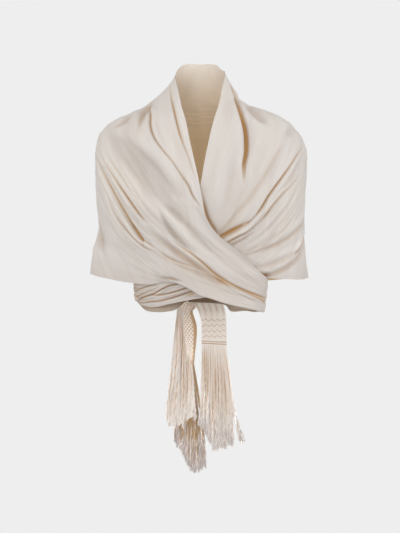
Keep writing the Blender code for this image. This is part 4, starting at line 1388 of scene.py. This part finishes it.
def build_surround():
    """A pale floor that curves up into a pale surround."""
    profile = [(MIDDLE, FLOOR), (2.5, FLOOR), (FLOOR_RADIUS, FLOOR)]
    for a in np.linspace(0.1, math.pi / 2, 12):
        rise = FLOOR_BEND * (1 - math.cos(a))
        profile.append((FLOOR_RADIUS + FLOOR_BEND * math.sin(a), FLOOR + rise))
    profile += [(FLOOR_RADIUS + FLOOR_BEND, 4.0), (7.0, 7.0), (4.0, 9.0), (MIDDLE, 9.5)]
    turns = TURN * np.arange(SURROUND_SIDES) / SURROUND_SIDES
    points = [(r * math.cos(t), r * math.sin(t), z) for r, z in profile for t in turns]
    start = SURROUND_SIDES * np.arange(len(profile) - 1)[:, None]
    j = np.arange(SURROUND_SIDES)
    a, b = start + j, start + (j + 1) % SURROUND_SIDES
    faces = np.stack([a, b, b + SURROUND_SIDES, a + SURROUND_SIDES], axis=-1).reshape(-1, 4)
    paper = bpy.data.materials.new("pale_studio_paper")
    paper.use_nodes = True
    tree = paper.node_tree
    tree.nodes.remove(tree.nodes["Principled BSDF"])
    glow = tree.nodes.new("ShaderNodeEmission")
    glow.inputs["Color"].default_value = (*BACKGROUND, 1)
    tree.links.new(glow.outputs["Emission"], tree.nodes["Material Output"].inputs["Surface"])
    surround = add_piece("studio_surround", np.array(points) / MM, faces, paper)
    for rays in ("diffuse", "glossy", "transmission", "shadow"):
        setattr(surround, "visible_" + rays, False)


def build_studio():
    """The surround, soft lights, and the camera."""
    build_surround()
    world = bpy.data.worlds.new("soft_studio")
    world.use_nodes = True
    sky = world.node_tree.nodes["Background"]
    sky.inputs["Color"].default_value = (*AMBIENT, 1)
    sky.inputs["Strength"].default_value = AMBIENT_STRENGTH
    scene = bpy.context.scene
    scene.world = world
    for light in LIGHTS:
        add_light(*light)
    scene.view_settings.view_transform = "Standard"
    scene.view_settings.look = "None"
    scene.view_settings.exposure = 0
    scene.view_settings.gamma = 1

    camera = bpy.data.cameras.new("camera")
    camera.sensor_fit = "VERTICAL"
    camera.angle = 2 * math.atan(VIEW_HALF_HEIGHT / CAMERA_DISTANCE)
    camera.clip_end = 60
    obj = bpy.data.objects.new("camera", camera)
    obj.location = (0, -CAMERA_DISTANCE, CAMERA_HEIGHT)
    obj.rotation_euler = (math.pi / 2, 0, 0)
    scene.collection.objects.link(obj)
    scene.camera = obj


def ride_and_replace(obj, slot, *nodes):
    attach(obj, "root")
    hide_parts(*nodes)


def build_object():
    cloth = satin()
    net = thread("knotted_silk_net", NET_LIGHT, NET_DEEP, NET_GOLDEN_SHADE, 0.6)
    silk = thread("silk_fringe_thread", FRINGE_LIGHT, FRINGE_DEEP, FRINGE_GOLDEN_SHADE, 0.5)
    back = build_back(cloth)
    ride_and_replace(back, "cream_satin", "back_and_shoulders")
    sheets = [back]
    front = (ARM_SECTION, FLANK_SECTION, ROWS, FRONT_COLUMNS)
    waist = (FLANK_SECTION, len(OUTER_HALF) - 1, WAIST_ROWS, WAIST_COLUMNS)
    for where, stretch, outward, inside in (("front", front, -1, 1.0), ("waist", waist, 1, 2.0)):
        for half in HALVES:
            name = where + "_" + half
            piece = cloth_stretch("cloth_" + name, half, *stretch, cloth, (0, outward, 0), inside)
            ride_and_replace(piece, "cream_satin", name)
            sheets.append(piece)
    knot = build_knot(net)
    ride_and_replace(knot, "knotted_net", "knot")
    panel = build_flat_net(net)
    ride_and_replace(panel, "knotted_net", "net_flat")
    leaf = build_leaf(net)
    ride_and_replace(leaf, "knotted_net", "net_twisted")
    for fringe in FRINGES:
        piece = build_fringe(fringe, silk)
        ride_and_replace(piece, "silk_fringe", *fringe.nodes)
    back, outer, inner, waist_outer, waist_inner = sheets


build_object()
build_studio()
